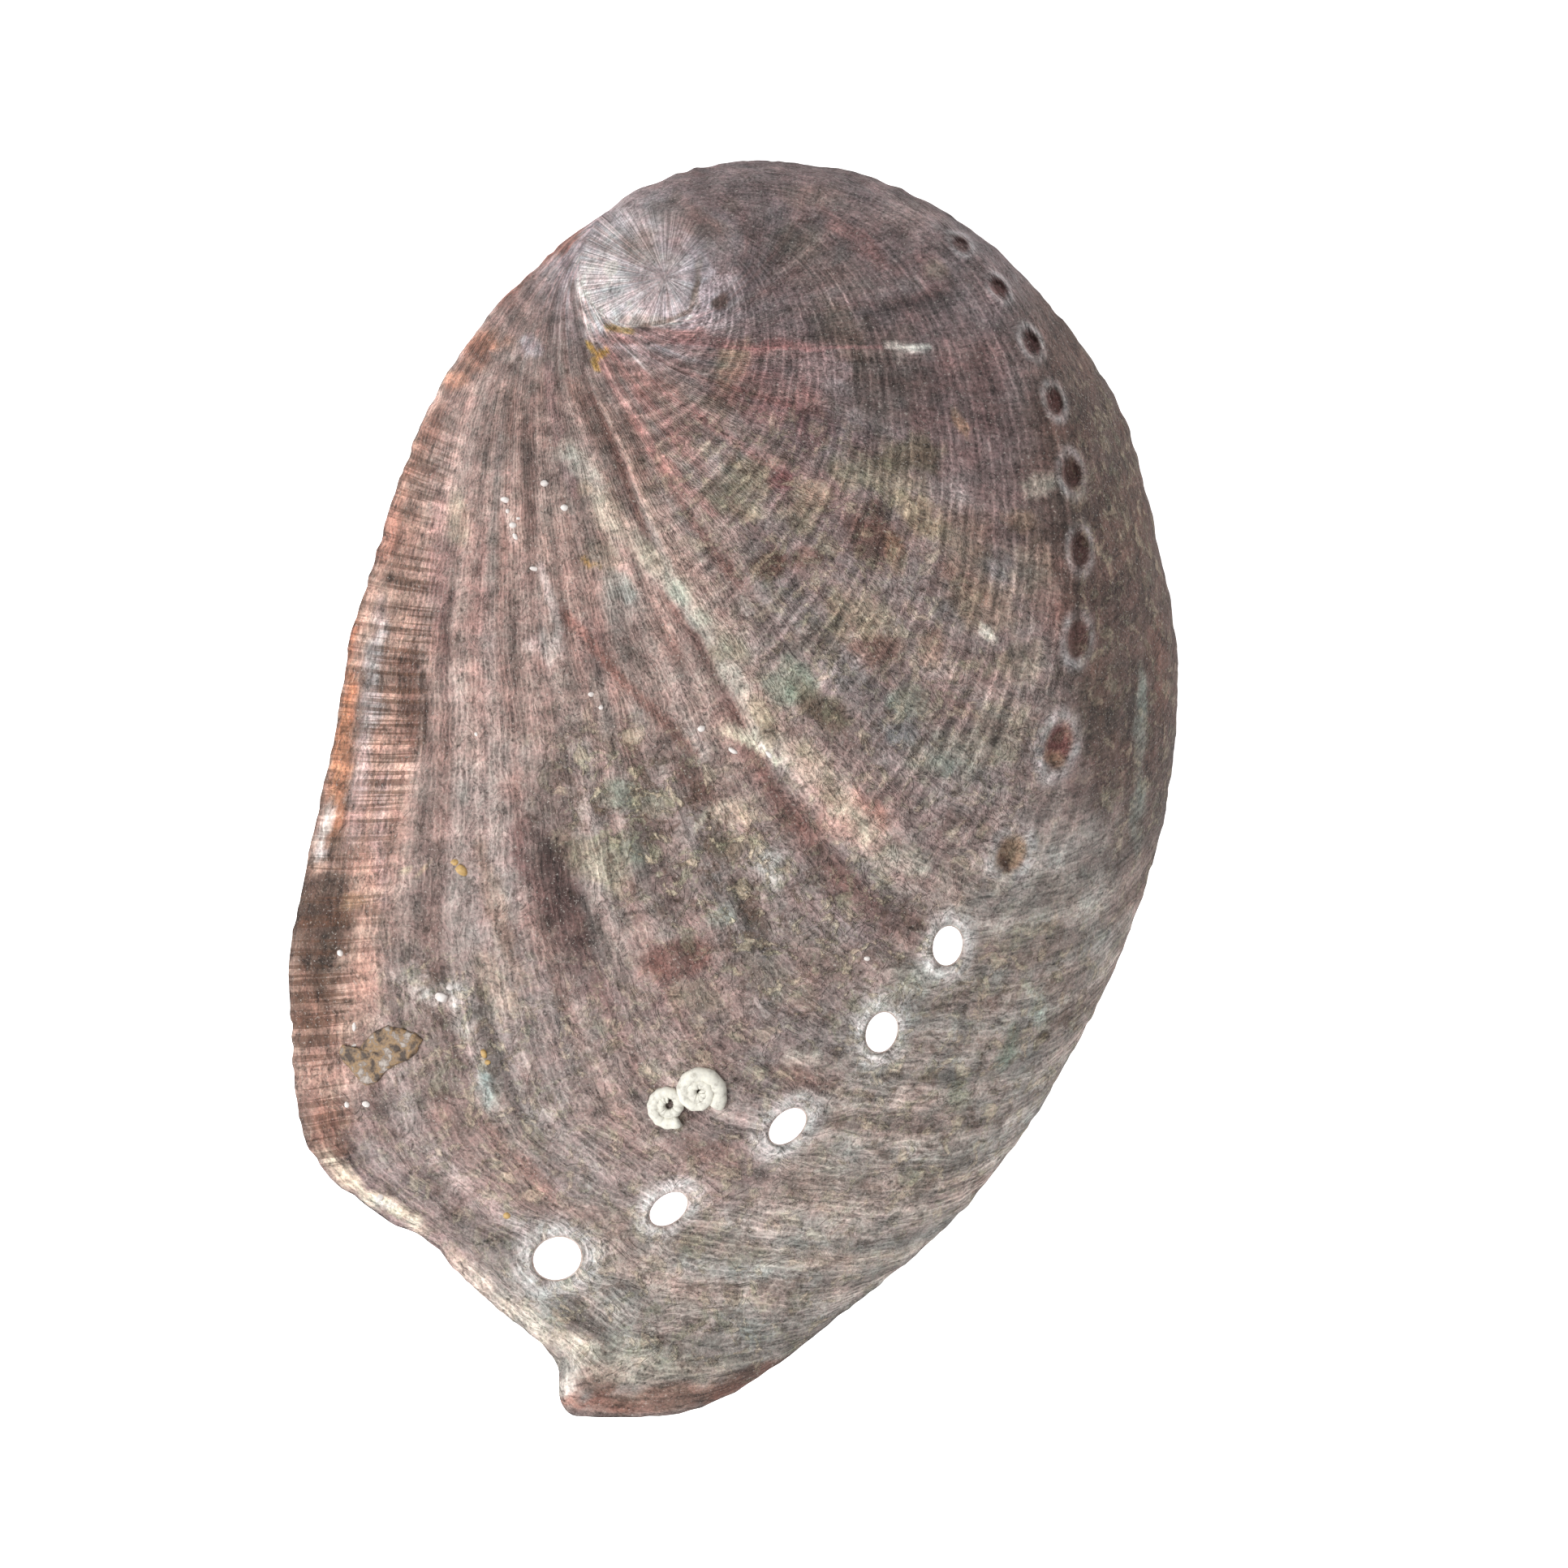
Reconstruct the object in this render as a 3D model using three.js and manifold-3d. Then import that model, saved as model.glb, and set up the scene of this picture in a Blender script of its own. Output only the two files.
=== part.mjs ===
// Ear shell (an abalone or ormer), back up, spire at the top left, lying on its margin.
// Millimetres, +Z up, +Y towards the spire end. The shell is one grown piece.

import * as THREE from 'three';
import { mergeVertices } from 'three/addons/utils/BufferGeometryUtils.js';
import Module from 'manifold-3d';

const wasm = await Module();
wasm.setup();

// Driving sizes
const shellHeight = 18.6;
const pole = new THREE.Vector2(-4.8, 36.4);
const summit = new THREE.Vector2(9.6, 10);
const wallThickness = 2;
const lipRim = 1.3;
const columellaShelf = 5.4;
const spireRise = 2.1;
const spireRadius = 5.6;
const sutureDepth = 0.5;
const sutureWidth = 0.9;
const rowRidgeHeight = 0.75;
const rowRidgeWidth = 2.4;
const furrowDepth = 0.35;

const degree = Math.PI / 180;

// The wall is steep at the base side (right and top) and gentle at the lip (left and bottom)
const steepSide = 35 * degree;
const steepness = 0.48;
const steepSpread = 0.7;

// The shelf under the columella, on the right
const columellaSide = 12 * degree;
const shelfTaper = 1.5;

// The arch of the back follows a softened outline, so the lip's corner leaves no crease in it
const softenSteps = 4;
const softenTurn = 6 * degree;
const softenFrom = 0.72;
const reliefFade = 0.06;

// How the band of growth is cut into cells
const coilTurns = 481.8;
const glueAngle = 219;
const rowsPerGlue = 40;
const bandColumns = 24;
const baseColumns = 10;
const innerRings = 9;
const ringCrowding = 0.8;
const poreSegments = 8;
const weldDistance = 1e-4;

// The coil seen from above: angle in degrees, clockwise from +X, and distance from the pole.
// The edge is the suture at first and the free margin over the last 219 degrees.
const edgeCurve = throughPoints([
  [-720, 0.7], [-540, 1.4], [-450, 1.8], [-360, 2.3], [-300, 2.9], [-250, 3.65], [-215, 4.9],
  [-185, 5.95], [-150, 6.45], [-120, 6.56], [-96, 7.08], [-72, 8.5], [-48, 11.45], [-24, 17.2],
  [0, 25.94], [12, 31.6], [24, 37.8], [36, 45.3], [48, 53], [60, 60.95], [72, 69.7], [84, 78],
  [88, 82.8], [92, 88.8], [101.5, 90]
]);
const poreCurve = throughPoints([
  [-720, 0.5], [-540, 1.05], [-360, 1.8], [-270, 2.55], [-200, 4.4], [-150, 5.4], [-120, 5.57],
  [-90, 6.4], [-60, 8.7], [-30, 14.1], [-6.6, 21.2], [10, 26.45], [26, 32.2], [41, 38.9],
  [50, 43.5], [59, 47.85], [67, 51.6], [74, 55.9], [82, 61.2], [90, 66.5], [96, 70.2],
  [101.5, 73], [225, 213]
]);

// The lip: how far across the band against how far it lags behind the suture
const finalLip = throughPoints([
  [0, 225], [0.027, 198.7], [0.053, 184.4], [0.114, 166.5], [0.196, 152], [0.271, 142.3],
  [0.347, 135.7], [0.42, 131], [0.494, 126.4], [0.568, 123.3], [0.638, 120.9], [0.707, 118.7],
  [0.742, 117.2], [0.81, 114.5], [0.884, 110.8], [0.928, 107.1], [1, 101.5]
]);
const youngLip = throughPoints([
  [0, 225], [0.03, 199], [0.084, 168], [0.217, 134], [0.447, 115], [0.718, 106.7], [1, 101.5]
]);
const lipChange = 38;
const coilLipEnd = -230;
const coilLipStart = -100;
const coilLipBend = 0.85;
const bandSpread = 1.3;
const baseSpread = 1.5;
const cornerFade = 6;

// The blunt corner of the final lip, from the last pore to the free edge
const cornerAngle = throughPoints([
  [0, 101.5], [0.2, 99.2], [0.4, 96.6], [0.5, 95.7], [0.6, 95.4], [0.68, 94.6], [0.78, 91.8],
  [0.86, 89.3], [0.93, 86.7], [1, 84]
]);
const cornerRadius = throughPoints([
  [0, 73], [0.2, 74.7], [0.4, 76.8], [0.5, 78.4], [0.6, 80.5], [0.68, 81.5], [0.78, 81.4],
  [0.86, 81.15], [0.93, 79.9], [1, 78]
]);
const baseSweep = 17.5;

// Width of the band, and of the base below the pores, for each mm from the pole
const bandWidthShare = 0.9;
const baseWidthShare = 0.2;
const rowGrowthStart = -260;
const rowGrowthEnd = -120;

// Pores along the row: angle on the row, length and width of the opening
const closedPores = [
  { angle: -6.6, length: 1.5, width: 1.1 },
  { angle: 1.7, length: 1.7, width: 1.1 },
  { angle: 10.1, length: 1.9, width: 1.2 },
  { angle: 17.7, length: 2, width: 1.2 },
  { angle: 25.8, length: 2.4, width: 1.4 },
  { angle: 33.3, length: 2.5, width: 1.4 },
  { angle: 41.3, length: 2.8, width: 1.6 },
  { angle: 50, length: 3.4, width: 1.9 },
  { angle: 59, length: 2.9, width: 2.1 }
];
const openPores = [
  { angle: 67.1, length: 3, width: 2.2 },
  { angle: 74, length: 3.1, width: 2.3 },
  { angle: 81.8, length: 3.3, width: 2.1 },
  { angle: 89.8, length: 3.2, width: 2.1 },
  { angle: 96.3, length: 3.7, width: 3.2 }
];
const pitDepth = 0.9;
const poreRimHeight = 0.35;
const poreRimWidth = 0.6;
const rowStep = 2;

// Growth folds: growth angle before the lip, height, half width in degrees
const folds = [
  { at: -8, height: 0.45, width: 2.2 },
  { at: -19, height: 0.5, width: 3.5 },
  { at: -31, height: 0.5, width: 4 },
  { at: -45, height: 0.7, width: 4.5 },
  { at: -62, height: 0.5, width: 5 },
  { at: -84, height: 0.4, width: 6 }
];
const foldExtent = 0.85;

// A smooth curve through points that never overshoots them
function throughPoints(points) {
  const steps = points.slice(1).map((p, i) => p[0] - points[i][0]);
  const slopes = points.slice(1).map((p, i) => (p[1] - points[i][1]) / steps[i]);
  const tangents = points.map((p, i) => {
    if (i === 0) return slopes[0];
    if (i === points.length - 1) return slopes[i - 1];
    const before = slopes[i - 1];
    const after = slopes[i];
    if (before * after <= 0) return 0;
    const heavy = 2 * steps[i] + steps[i - 1];
    const light = steps[i] + 2 * steps[i - 1];
    return (heavy + light) / (heavy / before + light / after);
  });
  return x => {
    let i = 0;
    while (i < steps.length - 1 && x > points[i + 1][0]) i += 1;
    const t = THREE.MathUtils.clamp((x - points[i][0]) / steps[i], 0, 1);
    const start = (1 + 2 * t) * (1 - t) ** 2 * points[i][1];
    const end = t * t * (3 - 2 * t) * points[i + 1][1];
    const leave = t * (1 - t) ** 2 * steps[i] * tangents[i];
    const arrive = t * t * (t - 1) * steps[i] * tangents[i + 1];
    return start + end + leave + arrive;
  };
}

// A bump of height 1 at the middle
function bell(distance, width) {
  return Math.exp(-((distance / width) ** 2));
}

function fromPole(angle, radius) {
  const turn = angle * degree;
  return new THREE.Vector2(pole.x + radius * Math.cos(turn), pole.y - radius * Math.sin(turn));
}

// Where a growth line (its angle before the lip) lies, across the band from suture to pores
function bandPoint(growth, across) {
  const recent = Math.exp(growth / lipChange);
  const inCoil = 1 - THREE.MathUtils.smoothstep(growth, coilLipEnd, coilLipStart);
  const coilLag = youngLip(0) - (youngLip(0) - youngLip(1)) * across ** coilLipBend;
  const earlyLag = youngLip(across) * (1 - inCoil) + coilLag * inCoil;
  const lag = finalLip(across) * recent + earlyLag * (1 - recent);
  const angle = growth + lag;
  const share = across ** bandSpread;
  const radius = edgeCurve(angle - 360) * (1 - share) + poreCurve(angle) * share;
  return fromPole(angle, radius);
}

// The same growth line from the pores down to the edge, with a blunt corner at the final lip
function basePoint(growth, down) {
  const share = 1 - (1 - down) ** baseSpread;
  const plainRadius = angle => poreCurve(angle) ** (1 - share) * edgeCurve(angle) ** share;
  const newest = Math.exp(growth / cornerFade);
  const lag = youngLip(1) - baseSweep * down;
  const stretch = 1 + (cornerRadius(down) / plainRadius(lag) - 1) * newest;
  const cornerTurn = (cornerAngle(down) - lag) * newest;
  return fromPole(growth + lag + cornerTurn, plainRadius(growth + lag) * stretch);
}

const growthStep = glueAngle / rowsPerGlue;
const rowCount = Math.round(coilTurns / growthStep);
const columnCount = bandColumns + baseColumns;

// The plan of the back, one row of points for each growth line
const planRows = [];
for (let i = 0; i <= rowCount; i += 1) {
  const growth = (i - rowCount) * growthStep;
  const row = [];
  for (let j = 0; j <= columnCount; j += 1) {
    const isBand = j <= bandColumns;
    const across = isBand ? j / bandColumns : 1;
    const down = isBand ? 0 : (j - bandColumns) / baseColumns;
    const plan = isBand ? bandPoint(growth, across) : basePoint(growth, down);
    row.push({ plan, growth, across, down });
  }
  planRows.push(row);
}

// The free outline, counterclockwise from where the lip meets the spire
const outline = [];
for (let j = 0; j < columnCount; j += 1) outline.push(planRows[rowCount][j].plan);
for (let i = rowCount; i > rowCount - rowsPerGlue; i -= 1) outline.push(planRows[i][columnCount].plan);

// Distance from the summit to the outline in any direction
const outlinePolar = outline.map(point => {
  const away = point.clone().sub(summit);
  return { angle: away.angle(), radius: away.length() };
}).sort((a, b) => a.angle - b.angle);

function outlineReach(direction) {
  const angle = (direction + 4 * Math.PI) % (2 * Math.PI);
  const next = outlinePolar.findIndex(entry => entry.angle >= angle);
  const last = outlinePolar.length - 1;
  const b = outlinePolar[next < 0 ? 0 : next];
  const a = outlinePolar[next <= 0 ? last : next - 1];
  const span = (b.angle - a.angle + 2 * Math.PI) % (2 * Math.PI);
  const part = span > 0 ? ((angle - a.angle + 2 * Math.PI) % (2 * Math.PI)) / span : 0;
  return a.radius + (b.radius - a.radius) * part;
}

function softReach(angle) {
  let sum = 0;
  for (let k = -softenSteps; k <= softenSteps; k += 1) sum += outlineReach(angle + k * softenTurn);
  return sum / (2 * softenSteps + 1);
}

function wallPower(angle) {
  const towardsBase = 0.5 + 0.5 * Math.cos(angle - steepSide);
  return 1 - steepness * towardsBase ** steepSpread;
}

// Height of the arch, 1 at the summit and 0 at the outline, for a share of the way between them
function archHeight(reachShare, angle) {
  const isOutside = THREE.MathUtils.smoothstep(reachShare, softenFrom, 1);
  const softening = outlineReach(angle) / softReach(angle);
  const share = reachShare * (softening + (1 - softening) * isOutside);
  return Math.max(0, 1 - share ** 2) ** wallPower(angle);
}

function backHeight(node) {
  const away = node.plan.clone().sub(summit);
  const angle = away.angle();
  const reachShare = Math.min(1, away.length() / outlineReach(angle));
  const poleDistance = node.plan.distanceTo(pole);
  let height = shellHeight * archHeight(reachShare, angle);
  height += spireRise * bell(poleDistance, spireRadius);
  const edgeFade = Math.min(1, (1 - reachShare) / reliefFade);
  const bandWidth = Math.max(poleDistance, 1) * bandWidthShare;
  const baseWidth = bandWidth * baseWidthShare;
  const isInsideCoil = node.growth < -glueAngle;
  let relief = -sutureDepth * bell(node.across * bandWidth, sutureWidth);
  if (isInsideCoil) relief -= sutureDepth * bell((1 - node.down) * baseWidth, sutureWidth);
  const fromRow = (node.across - 1) * bandWidth + node.down * baseWidth;
  const grown = THREE.MathUtils.smoothstep(node.growth, rowGrowthStart, rowGrowthEnd);
  relief += rowRidgeHeight * grown * bell(fromRow, rowRidgeWidth);
  relief -= furrowDepth * grown * bell(fromRow - 2 * rowRidgeWidth, rowRidgeWidth);
  const foldReach = Math.sin(Math.PI * node.across * foldExtent) * (1 - node.down);
  for (const fold of folds) {
    relief += fold.height * foldReach * bell(node.growth - fold.at, fold.width);
  }
  return height + relief * edgeFade;
}

// The underside: a flat rim, wide at the columella, then a smooth bowl
function shelfWidth(angle) {
  const towardsColumella = Math.max(0, Math.cos(angle + columellaSide));
  return lipRim + (columellaShelf - lipRim) * towardsColumella ** shelfTaper;
}

function makeShell() {
  const positions = [];
  const triangles = [];
  const addPoint = (plan, z) => positions.push(plan.x, plan.y, z) / 3 - 1;
  const addQuad = (a, b, c, d) => triangles.push(a, b, c, a, c, d);

  // Back: the first column of a row is the last column of the row one glue angle earlier
  const index = [];
  for (let i = 0; i <= rowCount; i += 1) {
    index.push(planRows[i].map((node, j) => {
      if (j === 0 && i >= rowsPerGlue) return index[i - rowsPerGlue][columnCount];
      const isMargin = i === rowCount || (j === columnCount && i > rowCount - rowsPerGlue);
      return addPoint(node.plan, isMargin ? 0 : backHeight(node));
    }));
  }
  const joint = index[rowCount - rowsPerGlue][columnCount];
  positions[joint * 3 + 2] = 0;
  for (let i = 0; i < rowCount; i += 1) {
    for (let j = 0; j < columnCount; j += 1) {
      addQuad(index[i][j], index[i + 1][j], index[i + 1][j + 1], index[i][j + 1]);
    }
  }

  // The first coil is closed with a fan at the pole
  const tip = addPoint(pole, backHeight({ plan: pole, growth: -coilTurns, across: 0.5, down: 0 }));
  for (let i = 0; i < rowsPerGlue; i += 1) triangles.push(tip, index[i + 1][0], index[i][0]);
  for (let j = 0; j < columnCount; j += 1) triangles.push(tip, index[0][j], index[0][j + 1]);

  // Underside: rings from the outline in to a point under the summit
  let ring = [];
  for (let j = 0; j < columnCount; j += 1) ring.push(index[rowCount][j]);
  for (let i = rowCount; i > rowCount - rowsPerGlue; i -= 1) ring.push(index[i][columnCount]);
  const bowlHeight = shellHeight - wallThickness;
  const count = outline.length;
  for (let r = 0; r < innerRings; r += 1) {
    const share = Math.cos((r / innerRings) * Math.PI / 2) ** ringCrowding;
    const next = outline.map(point => {
      const away = point.clone().sub(summit);
      const angle = away.angle();
      const rimShare = 1 - shelfWidth(angle) / away.length();
      const plan = summit.clone().addScaledVector(away, rimShare * share);
      return addPoint(plan, bowlHeight * archHeight(share, angle));
    });
    for (let k = 0; k < count; k += 1) {
      const n = (k + 1) % count;
      addQuad(ring[k], next[k], next[n], ring[n]);
    }
    ring = next;
  }
  const middle = addPoint(summit, bowlHeight);
  for (let k = 0; k < count; k += 1) triangles.push(ring[k], middle, ring[(k + 1) % count]);

  const geometry = new THREE.BufferGeometry();
  geometry.setAttribute('position', new THREE.Float32BufferAttribute(positions, 3));
  geometry.setIndex(triangles);
  return geometry;
}

function toSolid(geometry) {
  geometry.deleteAttribute('normal');
  geometry.deleteAttribute('uv');
  const merged = mergeVertices(geometry, weldDistance);
  return new wasm.Manifold(new wasm.Mesh({
    numProp: 3,
    vertProperties: new Float32Array(merged.attributes.position.array),
    triVerts: new Uint32Array(merged.index.array)
  }));
}

function toGeometry(solid) {
  const mesh = solid.getMesh();
  const geometry = new THREE.BufferGeometry();
  geometry.setAttribute('position', new THREE.BufferAttribute(mesh.vertProperties, 3));
  geometry.setIndex(new THREE.BufferAttribute(mesh.triVerts, 1));
  geometry.computeVertexNormals();
  return geometry;
}

// The way a pore points: halfway between straight up and square to the back
function poreDirection(angle) {
  const reach = 1;
  const here = fromPole(angle, poreCurve(angle));
  const heightAt = (x, y) => {
    const away = new THREE.Vector2(here.x + x, here.y + y).sub(summit);
    return shellHeight * archHeight(away.length() / outlineReach(away.angle()), away.angle());
  };
  const slopeX = (heightAt(reach, 0) - heightAt(-reach, 0)) / (2 * reach);
  const slopeY = (heightAt(0, reach) - heightAt(0, -reach)) / (2 * reach);
  const square = new THREE.Vector3(-slopeX, -slopeY, 1).normalize();
  return square.add(new THREE.Vector3(0, 0, 1)).normalize();
}

// An oval prism on the pore row, long side along the row, from depth below the back to rise above
function poreSolid(pore, depth, rise, margin) {
  const outlineShape = new THREE.Shape();
  outlineShape.absellipse(0, 0, pore.length / 2 + margin, pore.width / 2 + margin, 0, 2 * Math.PI);
  const prism = new THREE.ExtrudeGeometry(outlineShape, {
    depth: depth + rise,
    curveSegments: poreSegments,
    bevelEnabled: false
  });
  const here = fromPole(pore.angle, poreCurve(pore.angle));
  const ahead = fromPole(pore.angle + rowStep, poreCurve(pore.angle + rowStep));
  const up = new THREE.Vector3(0, 0, 1);
  prism.translate(0, 0, -depth);
  prism.rotateZ(ahead.sub(here).angle());
  prism.applyQuaternion(new THREE.Quaternion().setFromUnitVectors(up, poreDirection(pore.angle)));
  prism.translate(here.x, here.y, rowHeight(pore.angle));
  return toSolid(prism);
}

function rowHeight(angle) {
  const plan = fromPole(angle, poreCurve(angle));
  return backHeight({ plan, growth: angle - youngLip(1), across: 1, down: 0 });
}

let shellSolid = toSolid(makeShell());
for (const pore of openPores) {
  shellSolid = shellSolid.add(poreSolid(pore, wallThickness / 2, poreRimHeight, poreRimWidth));
}
for (const pore of openPores) {
  shellSolid = shellSolid.subtract(poreSolid(pore, 2 * wallThickness, 2 * wallThickness, 0));
}
for (const pore of closedPores) {
  shellSolid = shellSolid.subtract(poreSolid(pore, pitDepth, wallThickness, 0));
}

const shellGeometry = toGeometry(shellSolid);
shellGeometry.computeBoundingBox();
const box = shellGeometry.boundingBox;
shellGeometry.translate(-(box.min.x + box.max.x) / 2, -(box.min.y + box.max.y) / 2, -box.min.z);

const shellMaterial = new THREE.MeshStandardMaterial({
  color: 0x8c7670,
  roughness: 0.8,
  metalness: 0
});

const part = new THREE.Group();
const shell = new THREE.Mesh(shellGeometry, shellMaterial);
shell.name = 'shell';
part.add(shell);

export default part;
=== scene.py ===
# A weathered abalone (ear) shell, back up, on a pale lit table.
# The back is one spiral band of growth: every row of its grid is an old lip, and every column is a
# spiral cord
import math

import bpy
import numpy as np
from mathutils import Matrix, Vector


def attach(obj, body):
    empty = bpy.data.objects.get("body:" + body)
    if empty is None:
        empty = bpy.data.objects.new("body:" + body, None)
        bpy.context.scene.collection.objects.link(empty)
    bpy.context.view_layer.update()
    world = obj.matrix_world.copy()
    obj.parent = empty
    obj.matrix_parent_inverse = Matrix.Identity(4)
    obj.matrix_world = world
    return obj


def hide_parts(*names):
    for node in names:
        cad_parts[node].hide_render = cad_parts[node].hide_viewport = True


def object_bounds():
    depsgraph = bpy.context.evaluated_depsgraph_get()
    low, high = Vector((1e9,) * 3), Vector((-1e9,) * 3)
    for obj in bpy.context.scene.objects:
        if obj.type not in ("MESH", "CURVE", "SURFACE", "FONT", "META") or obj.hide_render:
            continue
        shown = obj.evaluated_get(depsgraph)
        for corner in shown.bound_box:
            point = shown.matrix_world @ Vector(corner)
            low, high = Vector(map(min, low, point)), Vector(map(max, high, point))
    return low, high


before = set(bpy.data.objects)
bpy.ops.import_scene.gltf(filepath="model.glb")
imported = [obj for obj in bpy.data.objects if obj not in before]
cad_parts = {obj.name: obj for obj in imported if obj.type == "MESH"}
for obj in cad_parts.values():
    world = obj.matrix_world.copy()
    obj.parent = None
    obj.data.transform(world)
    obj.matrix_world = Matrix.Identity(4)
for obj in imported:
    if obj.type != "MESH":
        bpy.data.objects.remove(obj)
cadLow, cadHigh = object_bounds()          # the box of the CAD model, before anything is added
print("stage: frame loaded")

mm = 0.001
photo = {
    "mmPerPixel": 0.058,
    "centreX": 903.5,                  # pixel of the frame's origin, across
    "centreY": 972.0,                  # and down
}


def fromPhoto(x, y):                   # a place in the photograph, in millimetres of the frame
    k = photo["mmPerPixel"]
    return (np.asarray(x) - photo["centreX"]) * k, (photo["centreY"] - np.asarray(y)) * k


# Small helpers

def srgbOf(code):                      # hex code to sRGB numbers from 0 to 1
    return np.array([int(code[i:i + 2], 16) for i in (1, 3, 5)]) / 255


def toLinear(srgb):                    # sRGB to the linear numbers that shaders take
    return np.where(srgb <= 0.04045, srgb / 12.92, ((srgb + 0.055) / 1.055) ** 2.4)


def linearColour(code):
    return toLinear(srgbOf(code))


def throughPoints(points):
    # a smooth curve through points: on each span a cubic, whose end slopes are the harmonic mean
    # of the slopes beside them, so it never overshoots
    x, y = np.array(points, float).T
    h = np.diff(x)
    d = np.diff(y) / h
    m = np.zeros_like(y)
    m[0], m[-1] = d[0], d[-1]
    a, b = d[:-1], d[1:]
    heavy, light = 2 * h[1:] + h[:-1], h[1:] + 2 * h[:-1]
    same = a * b > 0
    safeA, safeB = np.where(same, a, 1), np.where(same, b, 1)
    m[1:-1] = np.where(same, (heavy + light) / (heavy / safeA + light / safeB), 0)

    def curve(at):
        at = np.asarray(at, float)
        i = np.clip(np.searchsorted(x, at) - 1, 0, len(h) - 1)
        t = np.clip((at - x[i]) / h[i], 0, 1)
        ends = (1 + 2 * t) * (1 - t) ** 2 * y[i] + t * t * (3 - 2 * t) * y[i + 1]
        return ends + (t * (1 - t) ** 2 * m[i] + t * t * (t - 1) * m[i + 1]) * h[i]
    return curve


def bell(distance, width):             # 1 at the middle, falling off as a Gauss curve
    return np.exp(-(np.asarray(distance) / width) ** 2)


def smoothStep(low, high, value):      # 0 below low, 1 above high, an S between
    t = np.clip((np.asarray(value, float) - low) / (high - low), 0, 1)
    return t * t * (3 - 2 * t)


def softNoise(x, y, seed, octaves=1):
    # random heights at whole numbers, blended with an S curve, each octave twice as fine and
    # half as strong; about -1 to 1
    total = np.zeros(np.broadcast(x, y).shape)
    strength, size = 1.0, 0.0
    for octave in range(octaves):
        heights = np.random.default_rng(seed + 101 * octave).uniform(-1, 1, (128, 128))
        u, v = np.asarray(x) * 2 ** octave + 17.3 * octave, np.asarray(y) * 2 ** octave - 9.1 * octave
        i, j = np.floor(u).astype(int), np.floor(v).astype(int)
        s, t = smoothStep(0, 1, u - i), smoothStep(0, 1, v - j)
        a, b = heights[i % 128, j % 128], heights[(i + 1) % 128, j % 128]
        c, e = heights[i % 128, (j + 1) % 128], heights[(i + 1) % 128, (j + 1) % 128]
        total += strength * ((a * (1 - s) + b * s) * (1 - t) + (c * (1 - s) + e * s) * t)
        size += strength
        strength *= 0.5
    return total / size


# Camera, table and light

studio = {
    "lens": 900.0,                     # mm, long, so that the view is nearly without perspective
    "sensor": 36.0,                    # mm
    "lookAtPixel": (966.0, 966.0),
    "pixelsAcross": 1932.0,
    "tableSide": 6.0,                  # m
    "tableColour": "#ffffff",
    "tableRoughness": 0.9,
    "tableGlow": 0.85,
    "skyStrength": 0.5,
    "keyPower": 2.1,
    "keyPlace": (-260.0, -120.0, 330.0),
    "keySize": 260.0,
    "fillPower": 0.5,
    "fillPlace": (180.0, 260.0, 360.0),
    "fillSize": 300.0,
}


def makeCamera():
    data = bpy.data.cameras.new("camera")
    data.lens = studio["lens"]
    data.sensor_width = studio["sensor"]
    data.clip_end = 10.0
    width = studio["pixelsAcross"] * photo["mmPerPixel"]
    x, y = fromPhoto(*studio["lookAtPixel"])
    camera = bpy.data.objects.new("camera", data)
    camera.location = (x * mm, y * mm, width * studio["lens"] / studio["sensor"] * mm)
    bpy.context.collection.objects.link(camera)
    bpy.context.scene.camera = camera


def areaLight(name, power, place, size):
    data = bpy.data.lights.new(name, "AREA")
    data.energy = power
    data.size = size * mm
    light = bpy.data.objects.new(name, data)
    light.location = [p * mm for p in place]
    away = np.array(place, float)
    flat = math.hypot(away[0], away[1])
    light.rotation_euler = (math.atan2(flat, away[2]), 0, math.atan2(away[1], away[0]) + math.pi / 2)
    bpy.context.collection.objects.link(light)


def makeTable():
    side = studio["tableSide"] / 2
    mesh = bpy.data.meshes.new("table")
    corners = [(-side, -side, 0), (side, -side, 0), (side, side, 0), (-side, side, 0)]
    mesh.from_pydata(corners, [], [(0, 1, 2, 3)])
    table = bpy.data.objects.new("table", mesh)
    bpy.context.collection.objects.link(table)
    material = bpy.data.materials.new("white table")
    material.use_nodes = True
    surface = material.node_tree.nodes["Principled BSDF"]
    white = (*linearColour(studio["tableColour"]), 1)
    surface.inputs["Base Color"].default_value = white
    surface.inputs["Roughness"].default_value = studio["tableRoughness"]
    surface.inputs["Emission Color"].default_value = white
    surface.inputs["Emission Strength"].default_value = studio["tableGlow"]
    mesh.materials.append(material)


def makeSky():
    world = bpy.data.worlds.new("soft sky")
    world.use_nodes = True
    sky = world.node_tree.nodes["Background"]
    sky.inputs["Color"].default_value = (1, 1, 1, 1)
    sky.inputs["Strength"].default_value = studio["skyStrength"]
    bpy.context.scene.world = world


makeCamera()
makeTable()
makeSky()
areaLight("key", studio["keyPower"], studio["keyPlace"], studio["keySize"])
areaLight("fill", studio["fillPower"], studio["fillPlace"], studio["fillSize"])
bpy.context.scene.view_settings.view_transform = "Standard"
print("stage: camera, table and light")


# The form of the shell, in millimetres

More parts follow.
